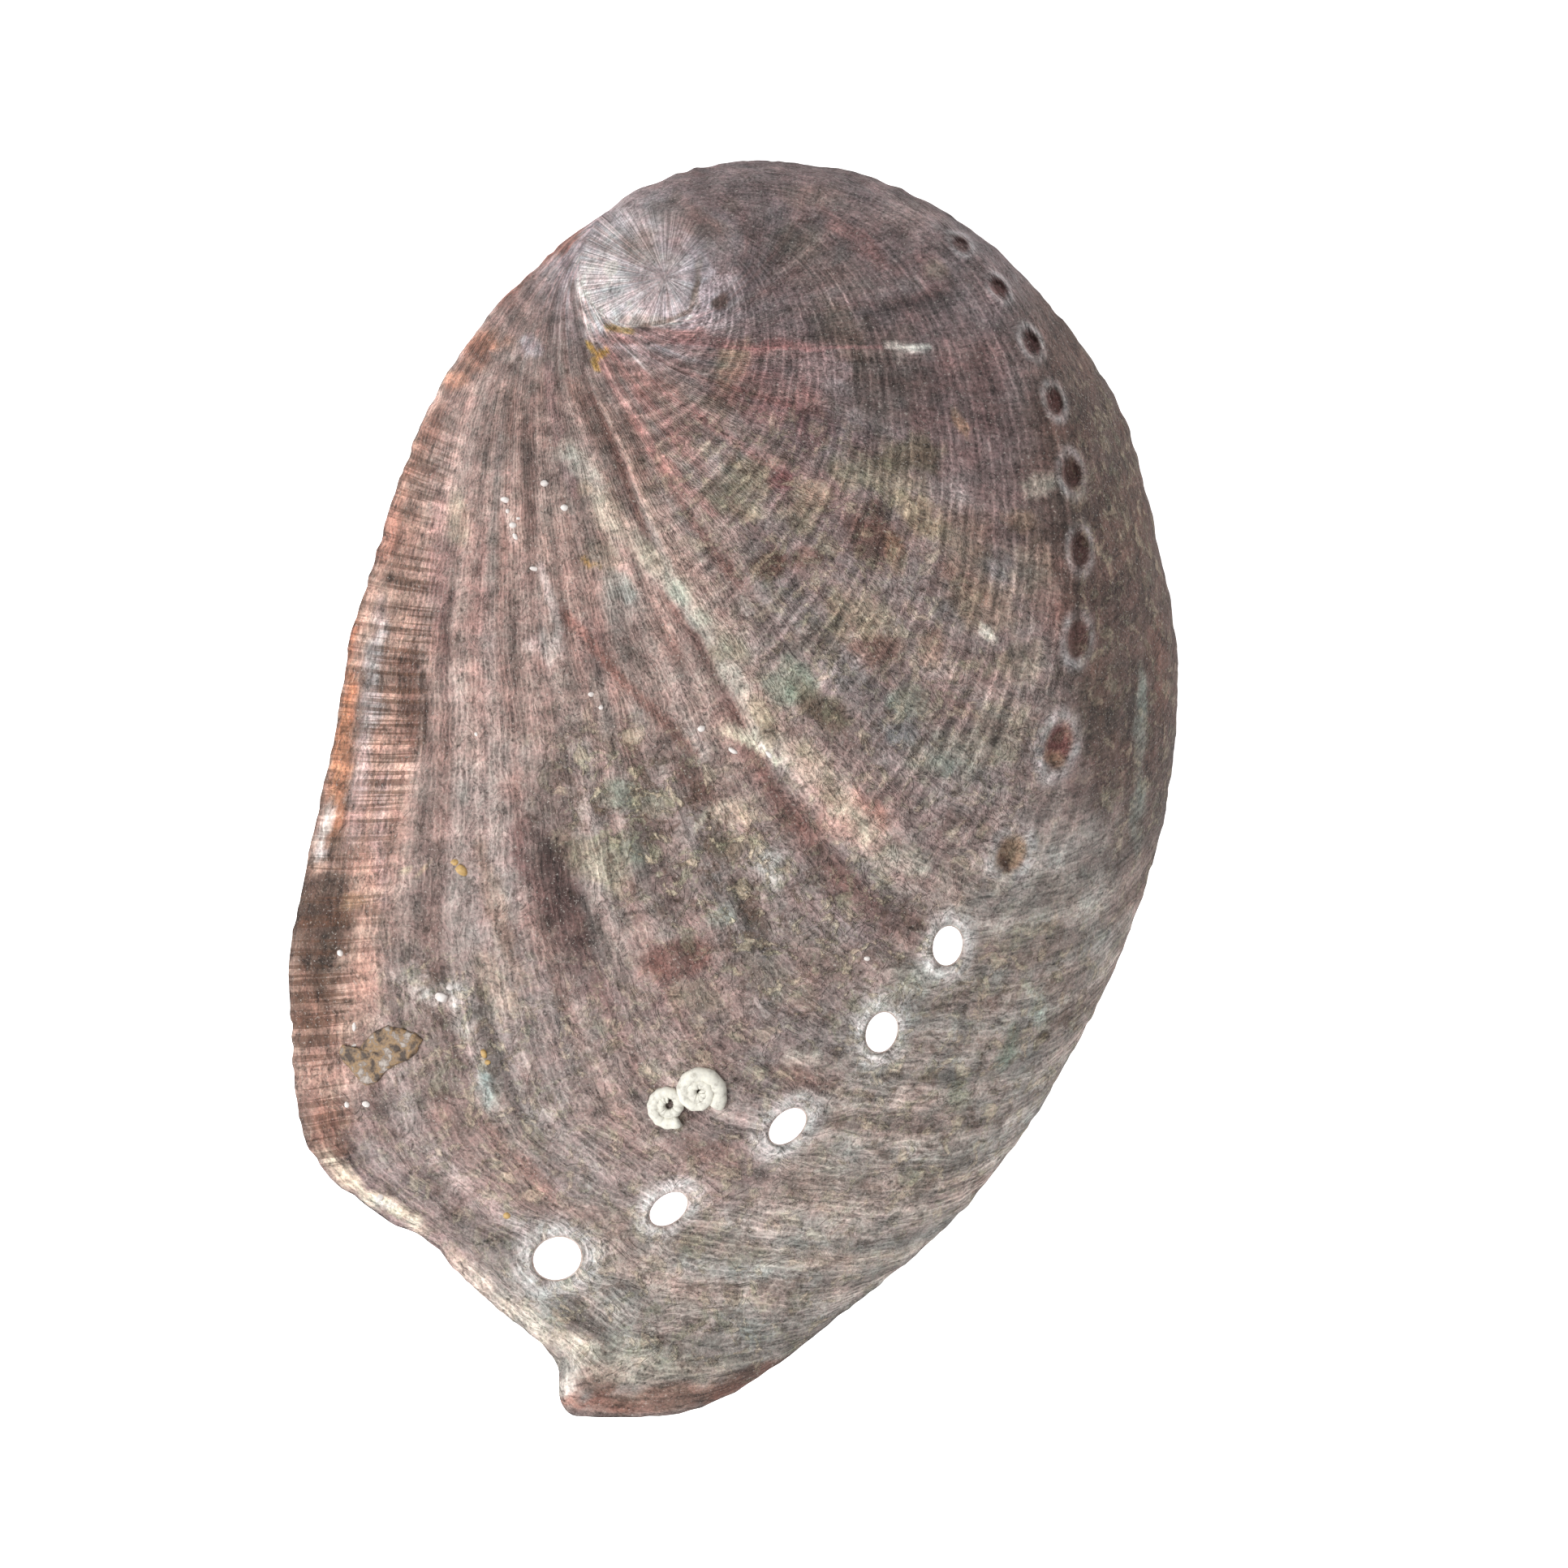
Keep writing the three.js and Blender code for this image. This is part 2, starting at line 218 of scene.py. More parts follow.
form = {
    "height": 18.6,
    "pole": (-4.8, 36.4),              # the tip of the spire, seen from above
    "summit": (9.6, 10.0),             # the highest place of the back
    "wall": 2.0,
    "lipRim": 1.0,
    "columellaShelf": 5.2,
    "spireRise": 2.1,
    "spireRadius": 5.6,
    "bodyTurn": 219.0,                 # degrees of growth from the spire to the lip
    "rows": 288,                       # old lips in the grid of the back
    "bandColumns": 208,                # spiral cords between the suture and the pores
    "baseColumns": 64,                 # and below the pores
    "growthLength": 100.0,             # degrees over which the shell grows 2.7 times
    "coilLipChange": 38.0,             # degrees over which the young lip turns into the final one
    "coiled": (-230.0, -100.0),        # growth at which the lip of the coil fades out
    "lagAtSuture": 225.0,              # degrees by which a lip lags at the suture
    "lagAtRow": 101.5,                 # and at the row of pores
    "lagPower": 0.85, "bandPower": 1.3, "basePower": 1.5,
    "baseSweep": 17.5,                 # degrees by which a lip sweeps back below the pores
    "cornerFade": 6.0,                 # degrees over which the newest lip gets its corner
    "bandWidth": 0.9,                  # width of the band for each mm from the pole
    "baseWidth": 0.2,                  # and of the base below the pores, for each mm of the band
    "softenFrom": 0.72,                # share of the way out where the arch turns to the outline
    "softenTurn": 6,                   # degrees between the nine directions that are averaged
    "steepTowards": 35.0,              # degrees, where the wall is steepest, and how steep it is
    "steepness": 0.48, "steepPower": 0.7,
}

# The coil from above: degrees clockwise from +X about the pole, and distance from it
edgeCurve = throughPoints([
    (-720, 0.7), (-540, 1.4), (-450, 1.8), (-360, 2.3), (-300, 2.9), (-250, 3.65), (-215, 4.9),
    (-185, 5.95), (-150, 6.45), (-120, 6.56), (-96, 7.08), (-72, 8.5), (-48, 11.45), (-24, 17.2),
    (0, 25.94), (12, 31.6), (24, 37.8), (36, 45.3), (48, 53), (60, 60.95), (72, 69.7), (84, 78),
    (88, 82.8), (92, 88.8), (101.5, 90),
])
poreCurve = throughPoints([
    (-720, 0.5), (-540, 1.05), (-360, 1.8), (-270, 2.55), (-200, 4.4), (-150, 5.4), (-120, 5.57),
    (-90, 6.4), (-60, 8.7), (-30, 14.1), (-6.6, 21.2), (10, 26.45), (26, 32.2), (41, 38.9),
    (50, 43.5), (59, 47.85), (67, 51.6), (74, 55.9), (82, 61.2), (90, 66.5), (96, 70.2),
    (101.5, 73), (225, 213),
])
# How far a lip lags behind the suture, from the suture (0) to the pores (1)
finalLip = throughPoints([
    (0, 225), (0.027, 198.7), (0.053, 184.4), (0.114, 166.5), (0.196, 152), (0.271, 142.3),
    (0.347, 135.7), (0.42, 131), (0.494, 126.4), (0.568, 123.3), (0.638, 120.9), (0.707, 118.7),
    (0.742, 117.2), (0.81, 114.5), (0.884, 110.8), (0.928, 107.1), (1, 101.5),
])
youngLip = throughPoints([
    (0, 225), (0.03, 199), (0.084, 168), (0.217, 134), (0.447, 115), (0.718, 106.7), (1, 101.5),
])

# The blunt corner of the final lip, from the last pore (0) to the free edge (1)
cornerAngle = throughPoints([
    (0, 101.5), (0.2, 99.2), (0.4, 96.6), (0.5, 95.7), (0.6, 95.4), (0.68, 94.6), (0.78, 91.8),
    (0.86, 89.3), (0.93, 86.7), (1, 84),
])
cornerRadius = throughPoints([
    (0, 73), (0.2, 74.7), (0.4, 76.8), (0.5, 78.4), (0.6, 80.5), (0.68, 81.5), (0.78, 81.4),
    (0.86, 81.15), (0.93, 79.9), (1, 78),
])


def fromPole(angle, radius):
    turn = np.radians(angle)
    return form["pole"][0] + radius * np.cos(turn), form["pole"][1] - radius * np.sin(turn)


def lipLag(growth, across):
    # the lip's shape changed as the shell grew: the young one fades into the final one
    recent = np.exp(growth / form["coilLipChange"])
    coiled = 1 - smoothStep(*form["coiled"], growth)
    change = form["lagAtSuture"] - form["lagAtRow"]
    coilLag = form["lagAtSuture"] - change * across ** form["lagPower"]
    early = youngLip(across) * (1 - coiled) + coilLag * coiled
    return finalLip(across) * recent + early * (1 - recent)


def bandPlace(growth, across):
    # from the suture to the pores: the radius goes from the edge of the coil before to the row
    angle = growth + lipLag(growth, across)
    share = across ** form["bandPower"]
    return angle, edgeCurve(angle - 360) * (1 - share) + poreCurve(angle) * share


def basePlace(growth, down):
    # from the pores to the free edge: the lip sweeps back while the radius goes out, and the
    # newest lip ends in a blunt corner of its own
    share = 1 - (1 - down) ** form["basePower"]

    def plainRadius(at):
        return poreCurve(at) ** (1 - share) * edgeCurve(at) ** share

    newest = np.exp(growth / form["cornerFade"])
    lag = form["lagAtRow"] - form["baseSweep"] * down
    stretch = 1 + (cornerRadius(down) / plainRadius(lag) - 1) * newest
    radius = plainRadius(growth + lag) * stretch
    return growth + lag + (cornerAngle(down) - lag) * newest, radius


def makeBandGrid():
    # rows closer towards the lip in degrees, so that they are evenly spaced in millimetres
    length, turn = form["growthLength"], form["bodyTurn"]
    time = np.linspace(0, 1, form["rows"] + 1)[:, None]
    start = math.exp(-turn / length)
    growth = length * np.log(start + (1 - start) * time)
    across = np.linspace(0, 1, form["bandColumns"] + 1)[None, :]
    down = np.linspace(0, 1, form["baseColumns"] + 1)[None, 1:]
    bandAngle, bandRadius = bandPlace(growth, across)
    baseAngle, baseRadius = basePlace(growth, down)
    angle = np.hstack([bandAngle, baseAngle])
    radius = np.hstack([bandRadius, baseRadius])
    x, y = fromPole(angle, radius)
    grid = {"x": x, "y": y, "angle": angle, "radius": radius}
    grid["growth"] = np.broadcast_to(growth, x.shape).copy()
    grid["time"] = np.broadcast_to(time, x.shape).copy()
    grid["across"] = np.broadcast_to(np.hstack([across, np.ones_like(down)]), x.shape).copy()
    grid["down"] = np.broadcast_to(np.hstack([np.zeros_like(across), down]), x.shape).copy()
    return grid


def marginLoop(values):                # along the lip, then back along the free edge
    return np.concatenate([values[-1, :], values[-2:0:-1, -1]])


def spireLoop(values):                 # along the suture, then back along the first row
    return np.concatenate([values[:, 0], values[0, -2:0:-1]])


grid = makeBandGrid()
sx, sy = form["summit"]
loopX, loopY = marginLoop(grid["x"]), marginLoop(grid["y"])
loopAngle = np.arctan2(loopY - sy, loopX - sx)
loopOrder = np.argsort(loopAngle)


def reach(angle):                      # from the summit to the outline, in any direction
    radius = np.hypot(loopX - sx, loopY - sy)[loopOrder]
    return np.interp(angle, loopAngle[loopOrder], radius, period=2 * np.pi)


def softReach(angle):                  # the same, averaged over 48 degrees
    turns = np.radians(form["softenTurn"]) * np.arange(-4, 5)
    return sum(reach(angle + turn) for turn in turns) / len(turns)


degreesRound = np.radians(np.arange(-180, 180))
softRatio = reach(degreesRound) / softReach(degreesRound)


def wallPower(angle):                  # steep at the base side, gentle towards the lip
    towardsBase = 0.5 + 0.5 * np.cos(angle - math.radians(form["steepTowards"]))
    return 1 - form["steepness"] * towardsBase ** form["steepPower"]


def archAt(share, angle):
    # 1 at the summit, 0 at the outline: one minus the squared share of the way, to a power.
    # The share is taken of a softened outline first, so the lip's corner leaves no crease
    ratio = np.interp(angle, degreesRound, softRatio, period=2 * np.pi)
    soft = share * (ratio + (1 - ratio) * smoothStep(form["softenFrom"], 1, share))
    return np.clip(1 - soft ** 2, 0, 1) ** wallPower(angle)


def arch(x, y):
    angle = np.arctan2(y - sy, x - sx)
    share = np.minimum(np.hypot(x - sx, y - sy) / reach(angle), 1)
    return archAt(share, angle), share


relief = {
    "sutureDepth": 0.5, "sutureWidth": 0.9,
    "ridgeHeight": 0.75, "ridgeWidth": 2.4,
    "furrowDepth": 0.35,
    "lumps": 0.16, "lumpSize": 3.1,    # uneven growth, height and breadth
    "grain": 0.05, "grainSize": 0.55,
    "marginFade": 0.05,                # share of the way in over which the relief begins
    "steepSide": 0.4,                  # width of a fold's younger side against its older side
    "foldWander": 1.2,                 # degrees of growth by which a fold wanders
    # growth folds: degrees before the lip, height, half width, and the part of the band they cross
    "folds": [
        (-1.6, 0.10, 0.5, 0.1, 1.1), (-6.2, 0.12, 0.6, 0.2, 1.0), (-9.3, 0.22, 1.0, 0.1, 1.1),
        (-12, 0.14, 0.8, 0.2, 0.9), (-14.6, 0.22, 1.1, 0.1, 1.0), (-18.6, 0.28, 1.4, 0.1, 1.0),
        (-22, 0.12, 1.0, 0.3, 1.0), (-26.2, 0.3, 1.6, 0.0, 0.5), (-30, 0.15, 1.4, 0.4, 1.0),
        (-37, 0.8, 2.4, 0.1, 0.95), (-45.5, 0.45, 2.2, 0.0, 0.55), (-53, 0.2, 2.2, 0.2, 1.0),
        (-63.5, 0.34, 2.4, 0.0, 0.6), (-70, 0.14, 2.0, 0.4, 1.0), (-78, 0.26, 2.4, 0.0, 0.6),
        (-91.5, 0.16, 1.6, 0.05, 0.85), (-105, 0.2, 2.6, 0.1, 0.9), (-125, 0.2, 3.0, 0.1, 0.9),
    ],
}

# Pores: degrees on the row, half length and half width in mm, and what fills the closed ones
closedPores = [
    (-6.6, 0.75, 0.5, "#584242"), (1.7, 0.85, 0.5, "#5a4141"), (10.1, 0.95, 0.55, "#5d4546"),
    (17.7, 1.0, 0.55, "#654a49"), (25.8, 1.2, 0.65, "#594342"), (33.3, 1.25, 0.65, "#5a4443"),
    (41.3, 1.4, 0.75, "#6a5351"), (50, 1.7, 0.95, "#76504f"), (59, 1.45, 1.05, "#8f7a69"),
]
# and how far each oval is turned against the row, in degrees counter-clockwise
poreTurn = throughPoints([(-20, 0), (50, 0), (59, 6), (67, 25), (74, 22), (82, 4), (90, 9), (100, 0)])
openPores = [(67.1, 1.5, 1.1), (74, 1.55, 1.15), (81.8, 1.65, 1.05), (89.8, 1.6, 1.05), (96.3, 1.85, 1.6)]
pore = {
    "block": 4,                        # cells from the middle of a hole to its side
    "reach": 2.6,                      # how far the cells round a hole are drawn in, in blocks
    "rimHeight": 0.5,                  # mm
    # place and breadth of the rims, in halves of the oval
    "openRimAt": 1.25, "openRimWidth": 0.42, "closedRimAt": 1.35, "closedRimWidth": 0.4,
    "closedRimShare": 0.6,             # height of a closed pore's rim against an open one's
    "pit": (0.45, 1.15),               # where the pit of a closed pore is deepest and where it ends
    "pitDepth": 0.6,
}


def poreFrame(angle):                  # middle of a pore and the two directions of its oval
    x, y = fromPole(angle, poreCurve(angle))
    ax, ay = fromPole(angle + 1, poreCurve(angle + 1))
    way = math.atan2(ay - y, ax - x) + math.radians(float(poreTurn(angle)))
    return x, y, math.cos(way), math.sin(way)


def pullCellsRound(grid, angle, halfLength, halfWidth):
    # squares of cells become ovals: a place at square distance m goes to oval distance m,
    # fading back to its own place at pore["reach"]
    k = pore["block"]
    row = int(np.abs(grid["growth"][:, 0] - (angle - form["lagAtRow"])).argmin())
    row = min(row, form["rows"] - k - 3)
    column = form["bandColumns"]
    i = (np.arange(form["rows"] + 1)[:, None] - row) / k
    j = (np.arange(grid["x"].shape[1])[None, :] - column) / k
    m = np.maximum(np.abs(i), np.abs(j))
    toOval = np.where(m > 0, m / np.maximum(np.hypot(i, j), 1e-9), 0)
    x, y, ux, uy = poreFrame(angle)
    along, side = i * toOval * halfLength, j * toOval * halfWidth
    targetX = x + along * ux - side * uy
    targetY = y + along * uy + side * ux
    pull = 1 - smoothStep(1.0, pore["reach"], m)
    grid["x"] += (targetX - grid["x"]) * pull
    grid["y"] += (targetY - grid["y"]) * pull
    return row, column


def ovalDistance(x, y, angle, halfLength, halfWidth):
    px, py, ux, uy = poreFrame(angle)
    along = (x - px) * ux + (y - py) * uy
    side = (x - px) * uy - (y - py) * ux
    return np.hypot(along / halfLength, side / halfWidth)


holes = [pullCellsRound(grid, *openPore) for openPore in openPores]


# Lines on the back: folds, breaks, veins and crusts. Points in pixels of the photograph, half
# width and rise in mm, colour and how strongly it covers
strokes = {
    "great fold, top": ([(700, 556), (716, 584), (742, 622), (768, 660)], 0.55, 0.22, "#cdc2be", 0.6),
    "great fold, middle": ([(790, 684), (826, 728), (858, 768)], 0.5, 0.2, "#c5b9b6", 0.65),
    "great fold, low": ([(893, 893), (912, 902), (944, 918)], 0.35, 0.2, "#d2c8ba", 0.6),
    "second fold": ([(742, 446), (772, 500), (806, 556), (850, 606), (880, 632)],
        0.4, 0.12, "#b58b8a", 0.55),
    "third fold": ([(750, 432), (800, 470), (850, 505), (905, 545), (960, 575)],
        0.4, 0.12, "#b78c8a", 0.5),
    "fourth fold": ([(790, 432), (840, 452), (880, 480), (905, 500)], 0.25, 0.08, "#a98584", 0.4),
    "level line": ([(830, 424), (900, 431), (1000, 433), (1090, 432)], 0.14, 0.05, "#a77f82", 0.6),
    "white dash": ([(1092, 429), (1116, 431), (1142, 430)], 0.22, 0.1, "#dcd9d6", 0.9),
    "white fleck": ([(1212, 778), (1226, 790)], 0.35, 0.12, "#dedad4", 0.9),
    "left rib, top": ([(676, 452), (682, 500), (694, 560), (706, 606)], 0.35, 0.14, "#b9989a", 0.5),
    "left rib, low": ([(668, 700), (676, 726), (684, 752), (690, 780), (684, 796)],
        0.3, 0.1, "#d5cccd", 0.7),
    "white beads": ([(618, 610), (628, 640), (634, 668)], 0.24, 0.1, "#d9cbca", 0.6),
    # painted shade: the furrow beside the spire is darkened where it sinks
    "furrow beside the spire": ([(708, 352), (712, 380), (718, 410), (726, 446)],
        0.3, -0.14, "#5d4a46", 0.45),
    "great fold crest": (
        [(700, 556), (724, 580), (760, 640), (800, 686), (836, 726), (871, 768), (890, 805), (906, 839),
         (942, 898), (990, 940), (1036, 980), (1071, 1027)], 0.75, 0.15, "#c9beb2", 0.5),
    # painted shadow: the groove at the edge of the spire is darkened
    "edge of the spire": ([(862, 350), (852, 384), (822, 399), (790, 404)], 0.16, -0.1, "#8f7c74", 0.6),
    "red line": ([(700, 760), (760, 830), (820, 890), (858, 930)], 0.35, -0.05, "#8d5f56", 0.45),
    # painted shade: the crack is darkened where it sinks
    "crack": ([(512, 792), (521, 830), (527, 872), (525, 912)], 0.14, -0.16, "#4f3d38", 0.8),
    "cream crust": ([(893, 902), (920, 914), (946, 926), (960, 940)], 0.2, 0.12, "#e0d8c6", 0.8),
    "pale vein": ([(1020, 1000), (1046, 996), (1062, 1012), (1068, 1036)], 0.25, 0.12, "#cfc9ba", 0.75),
    "curled crust": ([(858, 1022), (874, 1000), (896, 992), (914, 1000), (922, 1018)],
        0.22, 0.12, "#d4c9ba", 0.6),
    "green vein": ([(596, 1318), (602, 1340), (604, 1362)], 0.25, 0.05, "#aab8b6", 0.6),
    "vein at the hole": ([(1262, 1216), (1284, 1232), (1282, 1250), (1290, 1268)],
        0.2, 0.1, "#c3c9c2", 0.8),
    # painted shade: near-black in a shallow dent, standing for the dark inside of a small hole
    "small hole": ([(1284, 1275), (1293, 1275)], 0.2, -0.3, "#1f1714", 1.0),
    "right vein": ([(1404, 830), (1408, 880), (1404, 940), (1408, 1000)], 0.28, 0.06, "#97a19b", 0.4),
    "lower ledge": ([(690, 1656), (720, 1676), (770, 1694), (840, 1694), (890, 1682), (930, 1672)],
        0.3, 0.16, "#d3c8be", 0.6),
    "long ledge": ([(930, 1560), (1020, 1556), (1100, 1546), (1160, 1530)], 0.3, 0.14, "#c4bab0", 0.4),
    "yellow crust, long": ([(726, 424), (734, 436), (748, 434), (732, 446), (736, 456)],
        0.2, 0.06, "#c9a05a", 0.9),
    "yellow crust, upper": ([(750, 404), (766, 407), (778, 409)], 0.18, 0.05, "#ccaa72", 0.85),
    "yellow crust, low": ([(722, 690), (730, 702), (742, 700)], 0.14, 0.04, "#c9a467", 0.85),
    "fibre": ([(500, 1072), (516, 1076), (534, 1064)], 0.1, 0.05, "#cfc0a4", 0.7),
    "long fibre": ([(522, 1212), (548, 1212), (576, 1206)], 0.07, 0.05, "#cbbfae", 0.6),
}
# Broken growth layers: points, the drop to the lower side and how far on it fades, in mm. The
# lower side is on the left of the way from point to point, seen from above
ledges = {
    "old lip at the left": (
        [(462, 1300), (450, 1180), (444, 1070), (441, 960), (455, 830), (482, 740), (502, 690)],
        0.28, 3.0),
    "chipped layer": ([(524, 960), (529, 915), (525, 850), (512, 790)], 0.2, 1.6),
    "scar": ([(690, 800), (694, 770), (682, 730), (668, 700)], 0.14, 1.2),
    "lower right lamella": ([(1190, 1500), (1100, 1540), (1000, 1560), (900, 1572)], 0.14, 1.5),
}


def strokeDistance(x, y, points):
    # distance to the nearest of the line's straight pieces, and the side it lies on
    lineX, lineY = fromPhoto([p[0] for p in points], [p[1] for p in points])
    nearest = np.full(np.shape(x), 1e9)
    side = np.zeros(np.shape(x))
    for ax, ay, bx, by in zip(lineX[:-1], lineY[:-1], lineX[1:], lineY[1:]):
        dx, dy = bx - ax, by - ay
        t = np.clip(((x - ax) * dx + (y - ay) * dy) / (dx * dx + dy * dy), 0, 1)
        away = np.hypot(x - ax - t * dx, y - ay - t * dy)
        closer = away < nearest
        side = np.where(closer, np.sign((y - ay) * dx - (x - ax) * dy), side)
        nearest = np.where(closer, away, nearest)
    return nearest, side


def foldForm(growth, across, down):
    # the height of all growth folds, and their painted light for the colours: above 0 on a crest,
    # where a painted highlight goes, below 0 in the hollow on its younger side, where painted
    # shade goes; partly it is the folds' own paler and darker colour too
    height = np.zeros(np.broadcast(growth, across).shape)
    shade = np.zeros_like(height)
    wander = relief["foldWander"] * softNoise(across * 5, growth / 40, 5, 2)
    for at, rise, half, start, end in relief["folds"]:
        away = growth + wander - at
        steep = half * relief["steepSide"]
        side = np.where(away > 0, steep, half)
        along = smoothStep(start - 0.04, start + 0.1, across)
        along = along * (1 - smoothStep(end - 0.12, end + 0.06, across + 0.3 * down))
        uneven = 0.75 + 0.5 * softNoise(across * 9, growth * 0 + at, 6, 2)
        crest = along * uneven * np.exp(-np.abs(away / side) ** 1.5)
        hollow = along * uneven * bell(away - 2.2 * steep, 1.2 * steep)
        height = height + rise * crest
        shade = shade + rise * (crest - hollow)
    return height, shade


def fineGrain(x, y):
    return relief["grain"] * softNoise(x / relief["grainSize"], y / relief["grainSize"], 12, 2)


def backRelief(x, y, angle, radius, growth, across, down):
    # everything that stands off the smooth arch, in millimetres
    width = np.maximum(radius, 1) * form["bandWidth"]
    baseWidth = width * form["baseWidth"]
    height = -relief["sutureDepth"] * bell(across * width, relief["sutureWidth"])
    fromRow = (across - 1) * width + down * baseWidth
    grown = smoothStep(-260, -120, growth)
    ridge = relief["ridgeWidth"]
    height = height + relief["ridgeHeight"] * grown * bell(fromRow, ridge)
    height = height - relief["furrowDepth"] * grown * bell(fromRow - 2 * ridge, ridge)
    height = height + foldForm(growth, across, down)[0]
    for points, halfWidth, rise, *_ in strokes.values():
        height = height + rise * bell(strokeDistance(x, y, points)[0], 0.8 * halfWidth)
    for points, drop, fadeOver in ledges.values():
        distance, side = strokeDistance(x, y, points)
        height = height - drop * (side > 0) * smoothStep(0, 0.3, distance) * bell(distance, fadeOver)
    height = height + relief["lumps"] * softNoise(x / relief["lumpSize"], y / relief["lumpSize"], 11, 3)
    height = height + fineGrain(x, y)
    for angleAt, halfLength, halfWidth in openPores:
        oval = ovalDistance(x, y, angleAt, halfLength, halfWidth)
        height = height + pore["rimHeight"] * bell(oval - pore["openRimAt"], pore["openRimWidth"])
    for angleAt, halfLength, halfWidth, filling in closedPores:
        oval = ovalDistance(x, y, angleAt, halfLength, halfWidth)
        rim = bell(oval - pore["closedRimAt"], pore["closedRimWidth"])
        height = height + pore["closedRimShare"] * pore["rimHeight"] * rim
        height = height - pore["pitDepth"] * (1 - smoothStep(*pore["pit"], oval))
    return height


def backHeight(x, y, angle, radius, growth, across, down):
    rise, share = arch(x, y)
    poleDistance = np.hypot(x - form["pole"][0], y - form["pole"][1])
    height = form["height"] * rise + form["spireRise"] * bell(poleDistance, form["spireRadius"])
    fade = np.clip((1 - share) / relief["marginFade"], 0, 1)
    return height + fade * backRelief(x, y, angle, radius, growth, across, down)


grid["z"] = backHeight(*[grid[key] for key in ("x", "y", "angle", "radius", "growth", "across", "down")])
grid["z"][-1, :] = 0
grid["z"][:, -1] = 0
# the folds' painted highlight and painted shade, partly their own colour, kept for the colours
grid["fold"] = foldForm(grid["growth"], grid["across"], grid["down"])[1]

# The margin is chipped and uneven: place in pixels, reach and outward push in mm
nudges = [
    (385, 1385, 3.2, 0.45), (532, 1532, 2.4, -0.85), (700, 1688, 0.8, -0.5), (1380, 505, 3.5, 0.3),
    (1440, 690, 4.0, -0.25), (490, 600, 4.0, 0.2),
]
margin = {"roughness": 0.3, "size": 0.85, "from": 0.93}   # mm, mm and share of the way out


def roughenMargin(x, y):
    away = np.hypot(x - sx, y - sy)
    out = np.arctan2(y - sy, x - sx)
    push = -margin["roughness"] * (0.25 + 0.5 * softNoise(x / margin["size"], y / margin["size"], 21, 2))
    for px, py, size, amount in nudges:
        ax, ay = fromPhoto(px, py)
        push = push + amount * bell(np.hypot(x - ax, y - ay), size)
    push = push * smoothStep(margin["from"], 1, away / reach(out))
    return x + push * np.cos(out), y + push * np.sin(out)


grid["x"], grid["y"] = roughenMargin(grid["x"], grid["y"])
print("stage: form of the back worked out")


# The mesh

class MeshParts:
    def __init__(self):
        self.points, self.faces, self.slots, self.maps, self.count = [], [], [], [], 0

    def addPoints(self, x, y, z, u=0.0, v=0.0, lines=0.0, cords=0.0, fold=0.0):
        # u and v count growth lines and cords; lines and cords say how far those still show, and
        # fold is the painted highlight (above 0) and painted shade (below 0) of the growth folds,
        # partly their own colour
        x, y, z, u, v, lines, cords, fold = np.broadcast_arrays(x, y, z, u, v, lines, cords, fold)
        index = self.count + np.arange(x.size).reshape(x.shape)
        self.points.append(np.stack([x.ravel(), y.ravel(), z.ravel()], 1))
        self.maps.append(np.stack([u.ravel(), v.ravel(), lines.ravel(), cords.ravel(), fold.ravel()], 1))
        self.count += x.size
        return index

    def addFaces(self, corners, slot):
        corners = np.asarray(corners)
        if corners.shape[1] == 3:
            corners = np.hstack([corners, np.full((len(corners), 1), -1)])
        self.faces.append(corners)
        self.slots.append(np.full(len(corners), slot))


def quadsOf(index):                    # faces between neighbouring rows and columns of a grid
    a, b = index[:-1, :-1], index[1:, :-1]
    c, d = index[1:, 1:], index[:-1, 1:]
    return np.stack([a, b, c, d], -1)


def ringQuads(outer, inner):           # a strip between two closed loops of the same length
    return np.stack([outer, inner, np.roll(inner, -1), np.roll(outer, -1)], 1)


def halvingStrip(outer, inner):        # a strip from a loop of 2n points to one of n
    o0, o1, o2 = outer[0::2], outer[1::2], np.roll(outer[0::2], -1)
    i0, i1 = inner, np.roll(inner, -1)
    return np.concatenate([np.stack(t, 1) for t in ((o0, i0, o1), (o1, i1, o2), (o1, i0, i1))])


def closingFan(loop, middle):          # triangles from a closed loop to one point
    return np.stack([loop, np.full(len(loop), middle), np.roll(loop, -1)], 1)


back, pearl, edge = 0, 1, 2            # material slots
parts = MeshParts()
sculpture = {
    "growthLines": 220.0,              # fine growth lines in the whole band
    "cords": 44.0,                     # spiral cords between the suture and the pores
    "baseCords": 9.0,                  # and below the pores
    "begin": (-215.0, -150.0),         # degrees of growth over which lines and cords begin
    "weaken": (-36.0, -46.0),          # and between which the cords weaken
}
# lines and cords begin below the spire, and cords are weak on the newest part but for its margin
young = smoothStep(*sculpture["begin"], grid["growth"])
lineStrength = young * (0.45 + 0.55 * smoothStep(-60, -12, grid["growth"]))
cordStrength = young * (0.3 + 0.7 * smoothStep(*sculpture["weaken"], grid["growth"]))
cordStrength = cordStrength * (1 - 0.5 * smoothStep(0, 0.4, grid["down"]))
leftMargin = smoothStep(-9, -5, grid["growth"]) * (1 - smoothStep(0.6, 0.75, grid["across"]))
cordStrength = np.maximum(cordStrength, 0.9 * leftMargin)
lineCount = grid["time"] * sculpture["growthLines"]
cordCount = grid["across"] * sculpture["cords"] + grid["down"] * sculpture["baseCords"]
gridIndex = parts.addPoints(
    grid["x"], grid["y"], grid["z"], lineCount, cordCount, lineStrength, cordStrength, grid["fold"])
pinch = gridIndex[0, -1]               # the lip's first point is the free edge's last
gridIndex[-1, 0] = pinch

cells = quadsOf(gridIndex)
keep = np.ones(cells.shape[:2], bool)
block = pore["block"]
for row, column in holes:
    keep[row - block:row + block, column - block:column + block] = False
parts.addFaces(cells[keep], back)

